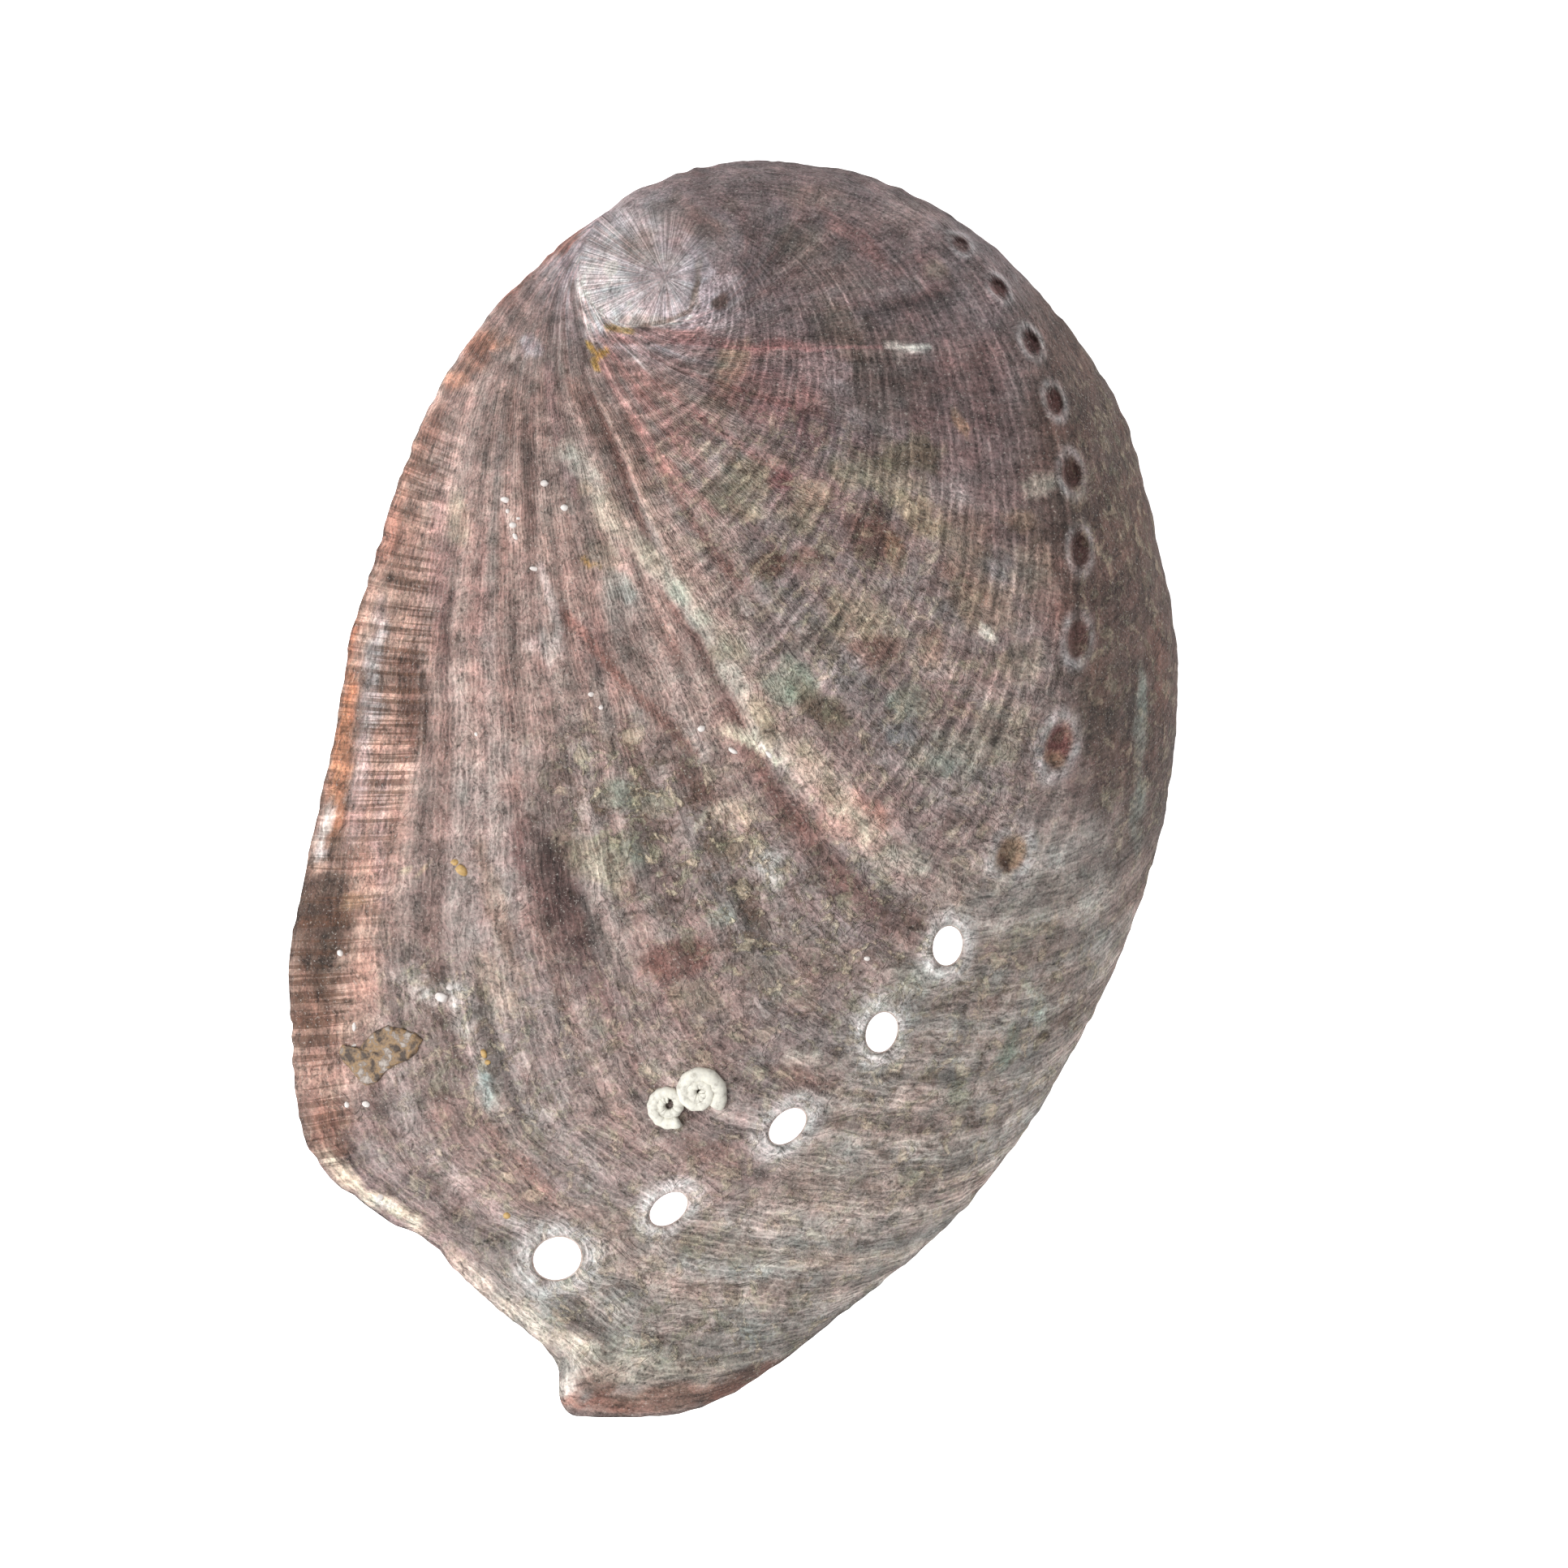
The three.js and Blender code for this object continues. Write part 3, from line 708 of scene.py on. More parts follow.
# Spire: rings from the suture loop in to the pole. Inside it only the last turns of the suture
# show, and round the tip they are worn away
spire = {
    "rings": 36, "ringPower": 0.9,
    "wornFrom": -345.0,                # degrees on the coil where the suture is whole
    "wornTo": -400.0,                  # and where nothing of it is left
    "tipRise": 0.08,                   # the worn tip stands up a little, as a disc
    "tipEdge": (1.575, 2.415),         # mm from its middle, where the disc begins to fall and ends
    "lumps": 0.096, "lumpSize": 2.1,
    "linesEnd": 40,                    # how soon growth lines end inside the loop
    "missFade": 4,                     # and how soon the height of the band beside it is forgotten
}
px0, py0 = form["pole"]


def spireHeight(x, y):
    radius = np.hypot(x - px0, y - py0)
    angle = np.degrees(np.arctan2(py0 - y, x - px0))
    angle = np.where(angle > -135, angle - 360, angle)
    angle = np.where(radius > edgeCurve(angle), angle + 360, angle)
    rise, share = arch(x, y)
    z = form["height"] * rise + form["spireRise"] * bell(radius, form["spireRadius"])
    for lineAngle in (angle - 360, angle):
        worn = smoothStep(spire["wornTo"], spire["wornFrom"], lineAngle) * (lineAngle < -135)
        groove = bell(radius - edgeCurve(lineAngle), 0.5 * relief["sutureWidth"])
        z = z - relief["sutureDepth"] * worn * groove
    z = z + spire["tipRise"] * (1 - smoothStep(*spire["tipEdge"], radius))
    z = z + spire["lumps"] * softNoise(x / spire["lumpSize"], y / spire["lumpSize"], 14, 3)
    return z + fineGrain(x, y)


loop = spireLoop(gridIndex)
ringX, ringY = spireLoop(grid["x"]), spireLoop(grid["y"])
loopMiss = spireLoop(grid["z"]) - spireHeight(ringX, ringY)
capMaps = [spireLoop(values) for values in (lineCount, cordCount, lineStrength, cordStrength)]
current = loop
shares = 1 - np.linspace(0, 1, spire["rings"] + 1)[1:-1] ** spire["ringPower"]
for number, share in enumerate(shares):
    if number in (0, 1):
        ringX, ringY, loopMiss = ringX[::2], ringY[::2], loopMiss[::2]
        capMaps = [values[::2] for values in capMaps]
    x, y = px0 + (ringX - px0) * share, py0 + (ringY - py0) * share
    z = spireHeight(x, y) + loopMiss * share ** spire["missFade"]
    fade = share ** spire["linesEnd"]
    following = parts.addPoints(x, y, z, capMaps[0], capMaps[1], capMaps[2] * fade, capMaps[3] * fade)
    strip = halvingStrip(current, following) if number in (0, 1) else ringQuads(current, following)
    parts.addFaces(strip, back)
    current = following
tip = parts.addPoints(np.array([px0]), np.array([py0]), spireHeight(np.array([px0]), np.array([py0])))
parts.addFaces(closingFan(current, tip[0]), back)

# Underside: a flat rim, then rings of the bowl in to the middle under the summit
backCount = parts.count
under = {
    "rings": 33, "ringPower": 0.85,
    "shelfTowards": -12.0, "shelfPower": 1.5,   # degrees, where the rim is widest
    "block": 2,                        # cells from the middle of a hole to its side
    "reach": 2.2,                      # how far the cells round a hole are drawn in, in blocks
    "evenedOver": 9,                   # points of the outline averaged for the rim's inner edge
    "unevenness": 0.12, "unevenSize": 7.0,   # mm
    "poreWiden": 1.1,                  # a pore is this much wider inside
}


def shelfWidth(angle):                 # the rim, wide along the columella
    near = np.maximum(0, np.cos(angle - math.radians(under["shelfTowards"])))
    return form["lipRim"] + (form["columellaShelf"] - form["lipRim"]) * near ** under["shelfPower"]


outerRim = marginLoop(gridIndex)
rimX, rimY = marginLoop(grid["x"]), marginLoop(grid["y"])
rimAngle = np.arctan2(rimY - sy, rimX - sx)
rimReach = np.hypot(rimX - sx, rimY - sy)
# the inner edge of the rim follows the outline without its fine roughness
steps = range(-(under["evenedOver"] // 2), under["evenedOver"] // 2 + 1)
evenReach = sum(np.roll(rimReach, step) for step in steps) / under["evenedOver"]
shelf = (evenReach - shelfWidth(rimAngle)) / rimReach
shelfX, shelfY = sx + (rimX - sx) * shelf, sy + (rimY - sy) * shelf
innerRim = parts.addPoints(shelfX, shelfY, np.zeros_like(shelfX))
parts.addFaces(ringQuads(outerRim, innerRim), edge)

bowlShare = np.cos(np.arange(1, under["rings"]) / under["rings"] * np.pi / 2)[:, None] ** under["ringPower"]
halfX, halfY = shelfX[::2], shelfY[::2]
bowlX = sx + (halfX - sx)[None, :] * bowlShare
bowlY = sy + (halfY - sy)[None, :] * bowlShare
bowlTop = form["height"] - form["wall"]


def bowlHeight(share, angle, x, y):
    smooth = bowlTop * archAt(share, angle)
    uneven = under["unevenness"] * softNoise(x / under["unevenSize"], y / under["unevenSize"], 31, 2)
    return smooth - smoothStep(0, 0.2, 1 - share) * uneven


bowlAround = np.arange(bowlX.shape[1])
bowlRing = np.arange(bowlX.shape[0])


def pullBowlRound(place):
    # the same as on the back, for the coarser cells of the bowl
    angle, halfLength, halfWidth = place
    x, y, ux, uy = poreFrame(angle)
    distance = np.hypot(bowlX - x, bowlY - y)
    ring, around = np.unravel_index(distance.argmin(), distance.shape)
    b = under["block"]
    n = bowlX.shape[1]
    i = (bowlRing[:, None] - ring) / b
    j = ((bowlAround[None, :] - around + n // 2) % n - n // 2) / b
    m = np.maximum(np.abs(i), np.abs(j))
    toOval = np.where(m > 0, m / np.maximum(np.hypot(i, j), 1e-9), 0)
    # the oval is turned into the directions of the bowl's own cells
    inward = np.array([sx - x, sy - y]) / math.hypot(sx - x, sy - y)
    sideways = np.array([inward[1], -inward[0]])
    local = np.stack([i * toOval, j * toOval], -1)
    flatX = local[..., 0] * inward[0] + local[..., 1] * sideways[0]
    flatY = local[..., 0] * inward[1] + local[..., 1] * sideways[1]
    along, side = flatX * ux + flatY * uy, flatX * uy - flatY * ux
    along, side = along * halfLength * under["poreWiden"], side * halfWidth * under["poreWiden"]
    targetX, targetY = x + along * ux + side * uy, y + along * uy - side * ux
    pull = 1 - smoothStep(1.0, under["reach"], m)
    bowlX[:] += (targetX - bowlX) * pull
    bowlY[:] += (targetY - bowlY) * pull
    return ring, around


bowlHoles = [pullBowlRound(place) for place in openPores]
bowlDirection = np.arctan2(bowlY - sy, bowlX - sx)
bowlReach = reach(bowlDirection) - shelfWidth(bowlDirection)
bowlZ = bowlHeight(np.hypot(bowlX - sx, bowlY - sy) / bowlReach, bowlDirection, bowlX, bowlY)
bowlIndex = parts.addPoints(bowlX, bowlY, bowlZ)
parts.addFaces(halvingStrip(innerRim, bowlIndex[0]), pearl)
wrapped = np.hstack([bowlIndex, bowlIndex[:, :1]])
bowlCells = np.stack([wrapped[:-1, :-1], wrapped[1:, :-1], wrapped[1:, 1:], wrapped[:-1, 1:]], -1)
keepBowl = np.ones(bowlCells.shape[:2], bool)
b = under["block"]
for ring, around in bowlHoles:
    columns = np.arange(around - b, around + b) % bowlX.shape[1]
    keepBowl[np.ix_(np.arange(ring - b, ring + b), columns)] = False
parts.addFaces(bowlCells[keepBowl], pearl)
bowlMiddle = parts.addPoints(np.array([sx]), np.array([sy]), np.array([bowlTop]))
parts.addFaces(closingFan(bowlIndex[-1], bowlMiddle[0]), pearl)


def blockLoop(index, row, column, half):
    # the points round a square block of cells, one after the other
    n = 2 * half
    rows = index[(row - half):(row + half + 1)]
    columns = (np.arange(column - half, column + half + 1)) % index.shape[1]
    block = rows[:, columns]
    return np.concatenate([block[0, :n], block[:n, n], block[n, n:0:-1], block[n:0:-1, 0]])


allPoints = np.concatenate(parts.points)
throat = {"steps": 3, "narrowing": 0.06}
for (row, column), (ring, around), place in zip(holes, bowlHoles, openPores):
    top = blockLoop(gridIndex, row, column, pore["block"])
    bottom = blockLoop(bowlIndex, ring, around, under["block"])
    cx, cy, ux, uy = poreFrame(place[0])
    topAngle = np.arctan2(allPoints[top, 1] - cy, allPoints[top, 0] - cx)
    bottomAngle = np.arctan2(allPoints[bottom, 1] - cy, allPoints[bottom, 0] - cx)
    turnTop = np.sign(np.sum(np.sin(np.diff(topAngle))))
    turnBottom = np.sign(np.sum(np.sin(np.diff(bottomAngle))))
    if turnTop != turnBottom:
        bottom, bottomAngle = bottom[::-1], bottomAngle[::-1]
    shift = int(np.abs(np.angle(np.exp(1j * (bottomAngle - topAngle[0])))).argmin())
    bottom = np.roll(bottom, -shift)
    current = top
    for step in range(1, throat["steps"] + 1):
        part = step / (throat["steps"] + 1)
        flat = allPoints[top, :2]
        lowZ = np.repeat(allPoints[bottom, 2], 2)
        z = allPoints[top, 2] * (1 - part) + lowZ * part
        narrow = 1 - throat["narrowing"] * math.sin(math.pi * part)
        x = cx + (flat[:, 0] - cx) * narrow
        y = cy + (flat[:, 1] - cy) * narrow
        following = parts.addPoints(x, y, z)
        strip = ringQuads(current, following)
        parts.addFaces(strip if turnTop < 0 else strip[:, ::-1], edge)
        current = following
    strip = halvingStrip(current, bottom)
    parts.addFaces(strip if turnTop < 0 else strip[:, ::-1], edge)


# Ground colours of the back, a few listed here. The back is mauve where no other one lies
grounds = {
    "mauve": "#7b6d70", "grey": "#8a7f7f", "rose": "#a6938f", "ash": "#a39b98",
    "brown": "#5c4b47", "tan": "#b8978b", "lilac": "#d6cbd6",
}
# Broad fields of those colours: place, half length and half width in pixels, turn in degrees
# clockwise, ground colour and how strongly it covers
fields = {
    "middle": (1160, 900, 300, 200, 80, "grey", 0.8),
    "left half": (650, 950, 650, 330, 84, "rose", 1.0),
    "lower middle": (850, 1330, 420, 330, 40, "grey", 0.7),
    "base below the pores": (1220, 1310, 430, 170, -54, "ash", 1.0),
    "bottom": (850, 1620, 330, 130, -6, "ash", 1.0),
    # the outer flank's dark brown is partly its own colour, partly painted shade on the steep side turned
    # away from the light
    "outer flank": (1380, 620, 470, 110, 84, "brown", 1.0),
    "left rim": (430, 930, 520, 80, 97, "tan", 0.9),
    "top margin": (1040, 260, 260, 70, 12, "mauve", 1.0),
    "worn spire": (790, 335, 120, 100, 20, "lilac", 1.0),
}
# Stains, crusts and worn spots: place, half length and half width in pixels, turn in degrees
# clockwise, colour and how strongly it covers
patches = [
    (825, 348, 37, 36, 0, "#bdb3ba", 0.35), (790, 345, 74, 60, 20, "#e2d9e0", 0.7),
    (742, 350, 56, 30, 100, "#f3eef5", 0.9), (762, 300, 44, 24, -50, "#e2dadf", 0.7),
    (776, 392, 60, 14, 14, "#efe9ee", 0.7), (815, 270, 70, 26, 20, "#a89a9c", 0.5),
    (880, 300, 40, 24, 50, "#94817f", 0.4), (792, 306, 26, 20, 0, "#96827c", 0.6),
    (850, 272, 60, 20, 22, "#8d7b79", 0.6), (815, 322, 24, 10, 0, "#cdc6c8", 0.6),
    (862, 345, 34, 6, 90, "#a5958c", 0.5), (800, 396, 50, 8, 6, "#c4b9b4", 0.6),
    (888, 372, 11, 9, 0, "#54433f", 0.8), (836, 246, 12, 7, 80, "#6a5f5d", 0.5),
    (905, 255, 10, 9, 0, "#6a5f5d", 0.5), (1010, 325, 60, 34, 20, "#686160", 0.55),
    (1000, 245, 50, 16, 10, "#8b7b74", 0.4), (1060, 300, 60, 12, 40, "#85605f", 0.5),
    (1115, 265, 40, 28, 0, "#958b8c", 0.5), (1120, 385, 46, 26, -10, "#54484a", 0.65),
    (1045, 420, 48, 26, 60, "#5e574f", 0.55), (1150, 340, 34, 14, 50, "#936f70", 0.4),
    (985, 300, 30, 24, 0, "#6d6a66", 0.5), (1155, 335, 16, 11, 0, "#97897b", 0.5),
    (930, 330, 60, 20, 10, "#7d6a6b", 0.3), (805, 418, 70, 11, 4, "#b0827f", 0.6),
    (930, 428, 90, 8, 0, "#9a6f70", 0.5), (905, 458, 18, 40, 20, "#8d8372", 0.7),
    (888, 500, 26, 12, 10, "#4c433d", 0.65), (945, 490, 56, 34, 20, "#714d4e", 0.5),
    (1000, 520, 28, 38, 0, "#795557", 0.5), (1095, 470, 46, 60, 0, "#534a47", 0.55),
    (1175, 500, 56, 78, 10, "#6a5454", 0.45), (1184, 522, 18, 5, 80, "#a08470", 0.7),
    (820, 520, 60, 14, 38, "#a27675", 0.55), (780, 470, 40, 12, 40, "#a27b77", 0.5),
    (770, 556, 56, 20, 58, "#6d5854", 0.6), (830, 500, 50, 14, 36, "#6a5651", 0.5),
    (735, 520, 60, 14, 66, "#8a6f68", 0.5), (850, 560, 40, 14, 40, "#a57e79", 0.45),
    (1075, 590, 60, 24, 18, "#8c8777", 0.75), (1122, 562, 40, 22, 10, "#545344", 0.65),
    (1135, 640, 40, 16, 30, "#928870", 0.6), (1000, 612, 24, 19, 0, "#aaa090", 0.7),
    (985, 642, 24, 20, 10, "#8c8472", 0.6), (920, 590, 38, 26, -10, "#8d8471", 0.65),
    (905, 625, 44, 12, 15, "#958d79", 0.6), (966, 592, 16, 15, 0, "#774c50", 0.65),
    (1075, 665, 28, 42, 5, "#57433e", 0.75), (1100, 682, 22, 14, 60, "#957d6a", 0.6),
    (950, 700, 22, 17, 0, "#5f4136", 0.7), (995, 690, 16, 14, 0, "#69493f", 0.5),
    (928, 745, 20, 20, 0, "#a5a3a3", 0.6), (1180, 660, 40, 28, 0, "#947e6d", 0.4),
    (1190, 720, 30, 56, 0, "#846d5d", 0.35), (1060, 760, 46, 28, 20, "#797360", 0.55),
    (1010, 790, 36, 24, 0, "#5c5048", 0.5), (1082, 802, 38, 18, 0, "#6b4d41", 0.45),
    (1145, 800, 20, 26, 0, "#9c7f6f", 0.55), (985, 842, 28, 20, 30, "#a9baab", 0.75),
    (1120, 866, 26, 18, 0, "#98a69a", 0.6), (1110, 905, 18, 17, 0, "#868c92", 0.55),
    (1010, 872, 40, 20, 40, "#504839", 0.6), (1170, 930, 50, 28, 0, "#929a8d", 0.45),
    (1235, 900, 40, 38, 0, "#9a9380", 0.35), (1270, 700, 28, 40, 0, "#a38f7a", 0.35),
    (1260, 640, 20, 14, 0, "#b0927a", 0.5), (1215, 745, 36, 38, 0, "#988673", 0.4),
    (1255, 820, 28, 28, 0, "#968977", 0.4), (1278, 600, 22, 12, 0, "#b8b8af", 0.6),
    (1040, 1010, 52, 34, 10, "#ad7e74", 0.65), (1090, 1045, 26, 13, 10, "#5c4c46", 0.6),
    (1112, 1062, 40, 16, 10, "#b6b9ad", 0.55), (950, 1072, 36, 15, 60, "#b8bdbb", 0.7),
    (925, 1120, 46, 15, 62, "#52463f", 0.6), (890, 1125, 14, 13, 0, "#aeb8b0", 0.5),
    (900, 1000, 30, 15, -20, "#c5b8a7", 0.5), (900, 1042, 26, 18, 0, "#5c523f", 0.55),
    (860, 960, 34, 15, 50, "#684c45", 0.55), (780, 985, 40, 18, 10, "#9ea999", 0.6),
    (730, 1055, 50, 24, 30, "#b3aa95", 0.65), (776, 1052, 30, 22, 20, "#8c9886", 0.5),
    (690, 1120, 110, 30, 66, "#594948", 0.85), (702, 1095, 84, 20, 68, "#544545", 0.7),
    (662, 1090, 66, 9, 62, "#6e5656", 0.7), (735, 1145, 44, 11, 66, "#54504f", 0.7),
    (840, 1185, 44, 24, -10, "#6d4b46", 0.65), (800, 1232, 50, 20, 20, "#766669", 0.5),
    (752, 1240, 64, 16, 50, "#857070", 0.5), (860, 1232, 30, 18, 0, "#aa9b89", 0.45),
    (990, 1330, 42, 17, 10, "#6a514b", 0.6), (992, 1304, 24, 10, -10, "#d3cec6", 0.7),
    (880, 1420, 50, 18, 20, "#8b6f68", 0.4), (960, 1210, 60, 24, 30, "#a89284", 0.4),
    (1130, 1120, 60, 14, 25, "#735f5a", 0.5), (1190, 1085, 36, 24, 0, "#b5aca8", 0.45),
    (1120, 1200, 30, 20, 0, "#96a095", 0.35), (1020, 1180, 50, 24, 20, "#8c7a70", 0.35),
    (655, 430, 15, 14, 0, "#bab1ba", 0.8), (656, 430, 7, 7, 0, "#83777b", 0.6),
    (646, 560, 84, 22, 85, "#75635f", 0.7), (565, 640, 34, 16, 90, "#cbbdab", 0.65),
    (500, 505, 40, 20, -50, "#8d6257", 0.5), (520, 540, 46, 16, -62, "#7c574c", 0.5),
    (478, 640, 60, 20, -75, "#915f52", 0.5), (600, 425, 26, 16, 0, "#c58e74", 0.6),
    (585, 450, 20, 14, 0, "#7a5c50", 0.7), (560, 470, 18, 14, 0, "#d19a80", 0.6),
    (640, 350, 30, 12, -50, "#98594a", 0.5), (690, 300, 40, 12, -40, "#a0614f", 0.6),
    (700, 560, 30, 14, 60, "#c9b2ac", 0.5), (545, 700, 120, 12, 88, "#b78c8c", 0.4),
    (590, 740, 120, 14, 86, "#b58d8a", 0.35), (690, 762, 26, 14, 70, "#7a6461", 0.6),
    (675, 800, 26, 13, 30, "#d6cecf", 0.6), (733, 800, 50, 20, 62, "#7c6868", 0.5),
    (820, 790, 36, 12, 50, "#a5837b", 0.4), (770, 730, 30, 14, 50, "#a3adaa", 0.6),
    (745, 690, 26, 20, 0, "#c4b6a4", 0.4), (506, 868, 60, 16, 87, "#69514a", 0.8),
    (462, 840, 100, 11, 96, "#dbd0d4", 0.8), (440, 985, 60, 16, 100, "#c2adb2", 0.5),
    (420, 940, 120, 12, 96, "#c07f5e", 0.75), (432, 780, 80, 12, 104, "#b9745a", 0.65),
    (462, 640, 60, 10, 108, "#b06a55", 0.6), (399, 1022, 34, 7, 105, "#e4dede", 0.8),
    (394, 1055, 16, 9, 90, "#e9e6ea", 0.8), (393, 1135, 66, 42, 92, "#54423a", 0.85),
    (380, 1225, 50, 26, 90, "#775d52", 0.65), (432, 1112, 13, 11, 0, "#c09a7b", 0.6),
    (490, 1150, 60, 26, 80, "#857b79", 0.55), (470, 1020, 90, 12, 92, "#b9a0a4", 0.45),
    (547, 1228, 30, 20, 20, "#efeeee", 0.95), (562, 1262, 24, 14, 30, "#cfcac8", 0.7),
    (500, 1202, 26, 11, -20, "#cdc4c1", 0.6), (620, 1130, 84, 12, 75, "#846d60", 0.5),
    (608, 1215, 44, 20, 70, "#b7a796", 0.4), (676, 1180, 80, 12, 68, "#ad8882", 0.4),
    (640, 1400, 80, 14, 62, "#b28d84", 0.35), (600, 1350, 16, 30, 0, "#9fadaa", 0.4),
    (540, 1330, 40, 26, 0, "#8d7f7b", 0.35), (405, 1395, 40, 26, 70, "#a3705f", 0.45),
    (480, 1490, 50, 10, 30, "#e6dac9", 0.9), (420, 1450, 40, 10, 46, "#e3d3c2", 0.9),
    (585, 1575, 50, 10, 46, "#d1c6be", 0.7), (640, 1618, 40, 12, 40, "#c8bcb2", 0.6),
    (690, 1655, 40, 12, 30, "#d6ccc3", 0.6), (702, 1710, 16, 24, 0, "#ece6e2", 0.9),
    (735, 1732, 50, 9, 4, "#9c6254", 0.6), (815, 1722, 95, 17, -4, "#8f6c60", 0.7),
    (775, 1668, 95, 17, 12, "#ebe3d8", 0.8), (735, 1700, 24, 22, 0, "#7e5b50", 0.6),
    (935, 1694, 76, 14, -18, "#7b564b", 0.7), (800, 1692, 90, 9, 2, "#d0c5bc", 0.55),
    (830, 1640, 60, 20, 10, "#85726e", 0.4), (640, 1440, 50, 26, 60, "#8d7d77", 0.35),
    (740, 1500, 50, 20, 20, "#85736b", 0.45), (880, 1530, 70, 20, 10, "#89796f", 0.4),
    (1000, 1440, 50, 30, -30, "#857a72", 0.35), (1150, 1440, 60, 26, -40, "#8a7f78", 0.35),
    (1280, 1130, 60, 30, -60, "#857871", 0.4), (1240, 1292, 32, 11, -65, "#9fae9e", 0.6),
    (1180, 1350, 22, 12, -60, "#8f9c8c", 0.5), (1282, 1240, 30, 9, 80, "#b9c2bb", 0.5),
    (1205, 1500, 60, 10, -40, "#8f6d62", 0.5), (1290, 1400, 60, 10, -55, "#96766b", 0.4),
    (1385, 1180, 70, 10, -68, "#9a8078", 0.4), (1405, 870, 60, 8, 88, "#98a29c", 0.5),
    (1400, 1000, 60, 8, 92, "#96a19a", 0.45), (1350, 870, 60, 24, 88, "#5e534b", 0.4),
    (1390, 640, 90, 26, 84, "#54473f", 0.35), (1430, 800, 80, 10, 88, "#7b5a50", 0.4),
    (1345, 420, 60, 20, 60, "#645750", 0.35),
]
# Small stains that lie over the strokes and the pores, in the same order
lateStains = [
    (1299, 936, 13, 9, 10, "#a58c78", 0.8), (1238, 1066, 12, 5, 70, "#4a3b36", 0.8),
    (728, 584, 30, 9, 48, "#d6d1cc", 0.7), (748, 636, 30, 15, 68, "#d3c9bb", 0.65),
    (722, 604, 10, 9, 0, "#b3a18f", 0.5), (802, 690, 24, 13, 52, "#cdc5b6", 0.6),
    (836, 730, 22, 12, 50, "#bcc6bb", 0.6), (866, 762, 14, 9, 30, "#cfd3c6", 0.5),
    (906, 800, 26, 13, 42, "#a9aa99", 0.55), (962, 852, 26, 17, 42, "#a3b5a6", 0.65),
    (938, 880, 22, 12, 60, "#cfc2a8", 0.55), (1000, 930, 24, 10, 40, "#c8bca9", 0.5),
    (948, 905, 12, 16, 0, "#6f6353", 0.5), (884, 806, 12, 8, 40, "#7f7666", 0.5),
    (1030, 978, 20, 8, 42, "#bfb6a6", 0.45),
]
# Where crusts have grown on the back, and where brown bars cross its rim: how strongly
crusted = [
    (980, 640, 210, 120, 25, 0.55), (1100, 880, 260, 190, 60, 0.5), (840, 1040, 200, 100, 40, 1.0),
    (1010, 1160, 260, 130, 30, 0.8), (760, 1420, 330, 230, 10, 0.55), (1200, 1330, 260, 140, -50, 0.8),
    (880, 1620, 260, 80, 0, 0.7), (1390, 800, 420, 60, 86, 0.5), (560, 1250, 110, 60, 40, 0.7),
]
barred = [
    (490, 850, 225, 38, 97, 1.0), (420, 860, 240, 20, 102, 0.7), (392, 1180, 170, 50, 92, 1.0),
    (400, 1370, 90, 38, 80, 0.8), (512, 610, 100, 36, -68, 0.8), (455, 1060, 150, 30, 94, 0.7),
]
# Where the cords are worn away
wornCords = [
    (1000, 262, 330, 62, 8, 0.8), (880, 300, 90, 60, 0, 0.7), (930, 1560, 380, 120, -10, 0.4),
]
paint = {
    "lightGain": 1.42,                 # how much the studio light brightens a colour
    "leftGain": 0.006,                 # and how much more for each mm towards the key light
    "wobble": 0.6,                     # mm by which the edges of patches wander
    "fray": 0.45,                      # and how ragged those edges are
    "lineStreaks": 0.34, "cordStreaks": 0.2, "blotches": 0.22, "reddening": 0.035,
    "closedRim": "#cdd0d7", "closedRimCover": 0.65, "openRim": "#e6e8ec", "openRimCover": 0.95,
    # painted highlight on the fold crests and painted shade in their hollows, partly the folds' own colour
    "foldCrestTintAndHighlight": "#d2bdb6", "foldHollowTintAndShade": "#6d4c47", "foldTintAndShade": 1.1,
}


def ovalAmount(x, y, place, frayed):   # 1 inside an oval of the photograph, 0 outside
    px, py, halfLength, halfWidth, turn = place
    ax, ay = fromPhoto(px, py)
    c, s = math.cos(math.radians(turn)), -math.sin(math.radians(turn))
    along = ((x - ax) * c + (y - ay) * s) / (halfLength * photo["mmPerPixel"])
    across = ((y - ay) * c - (x - ax) * s) / (halfWidth * photo["mmPerPixel"])
    return 1 - smoothStep(0.6, 1.35, np.hypot(along, across) + frayed)


def cover(colours, code, amount):      # lay one colour over the others
    return colours + (srgbOf(code) - colours) * np.clip(amount, 0, 1)[:, None]


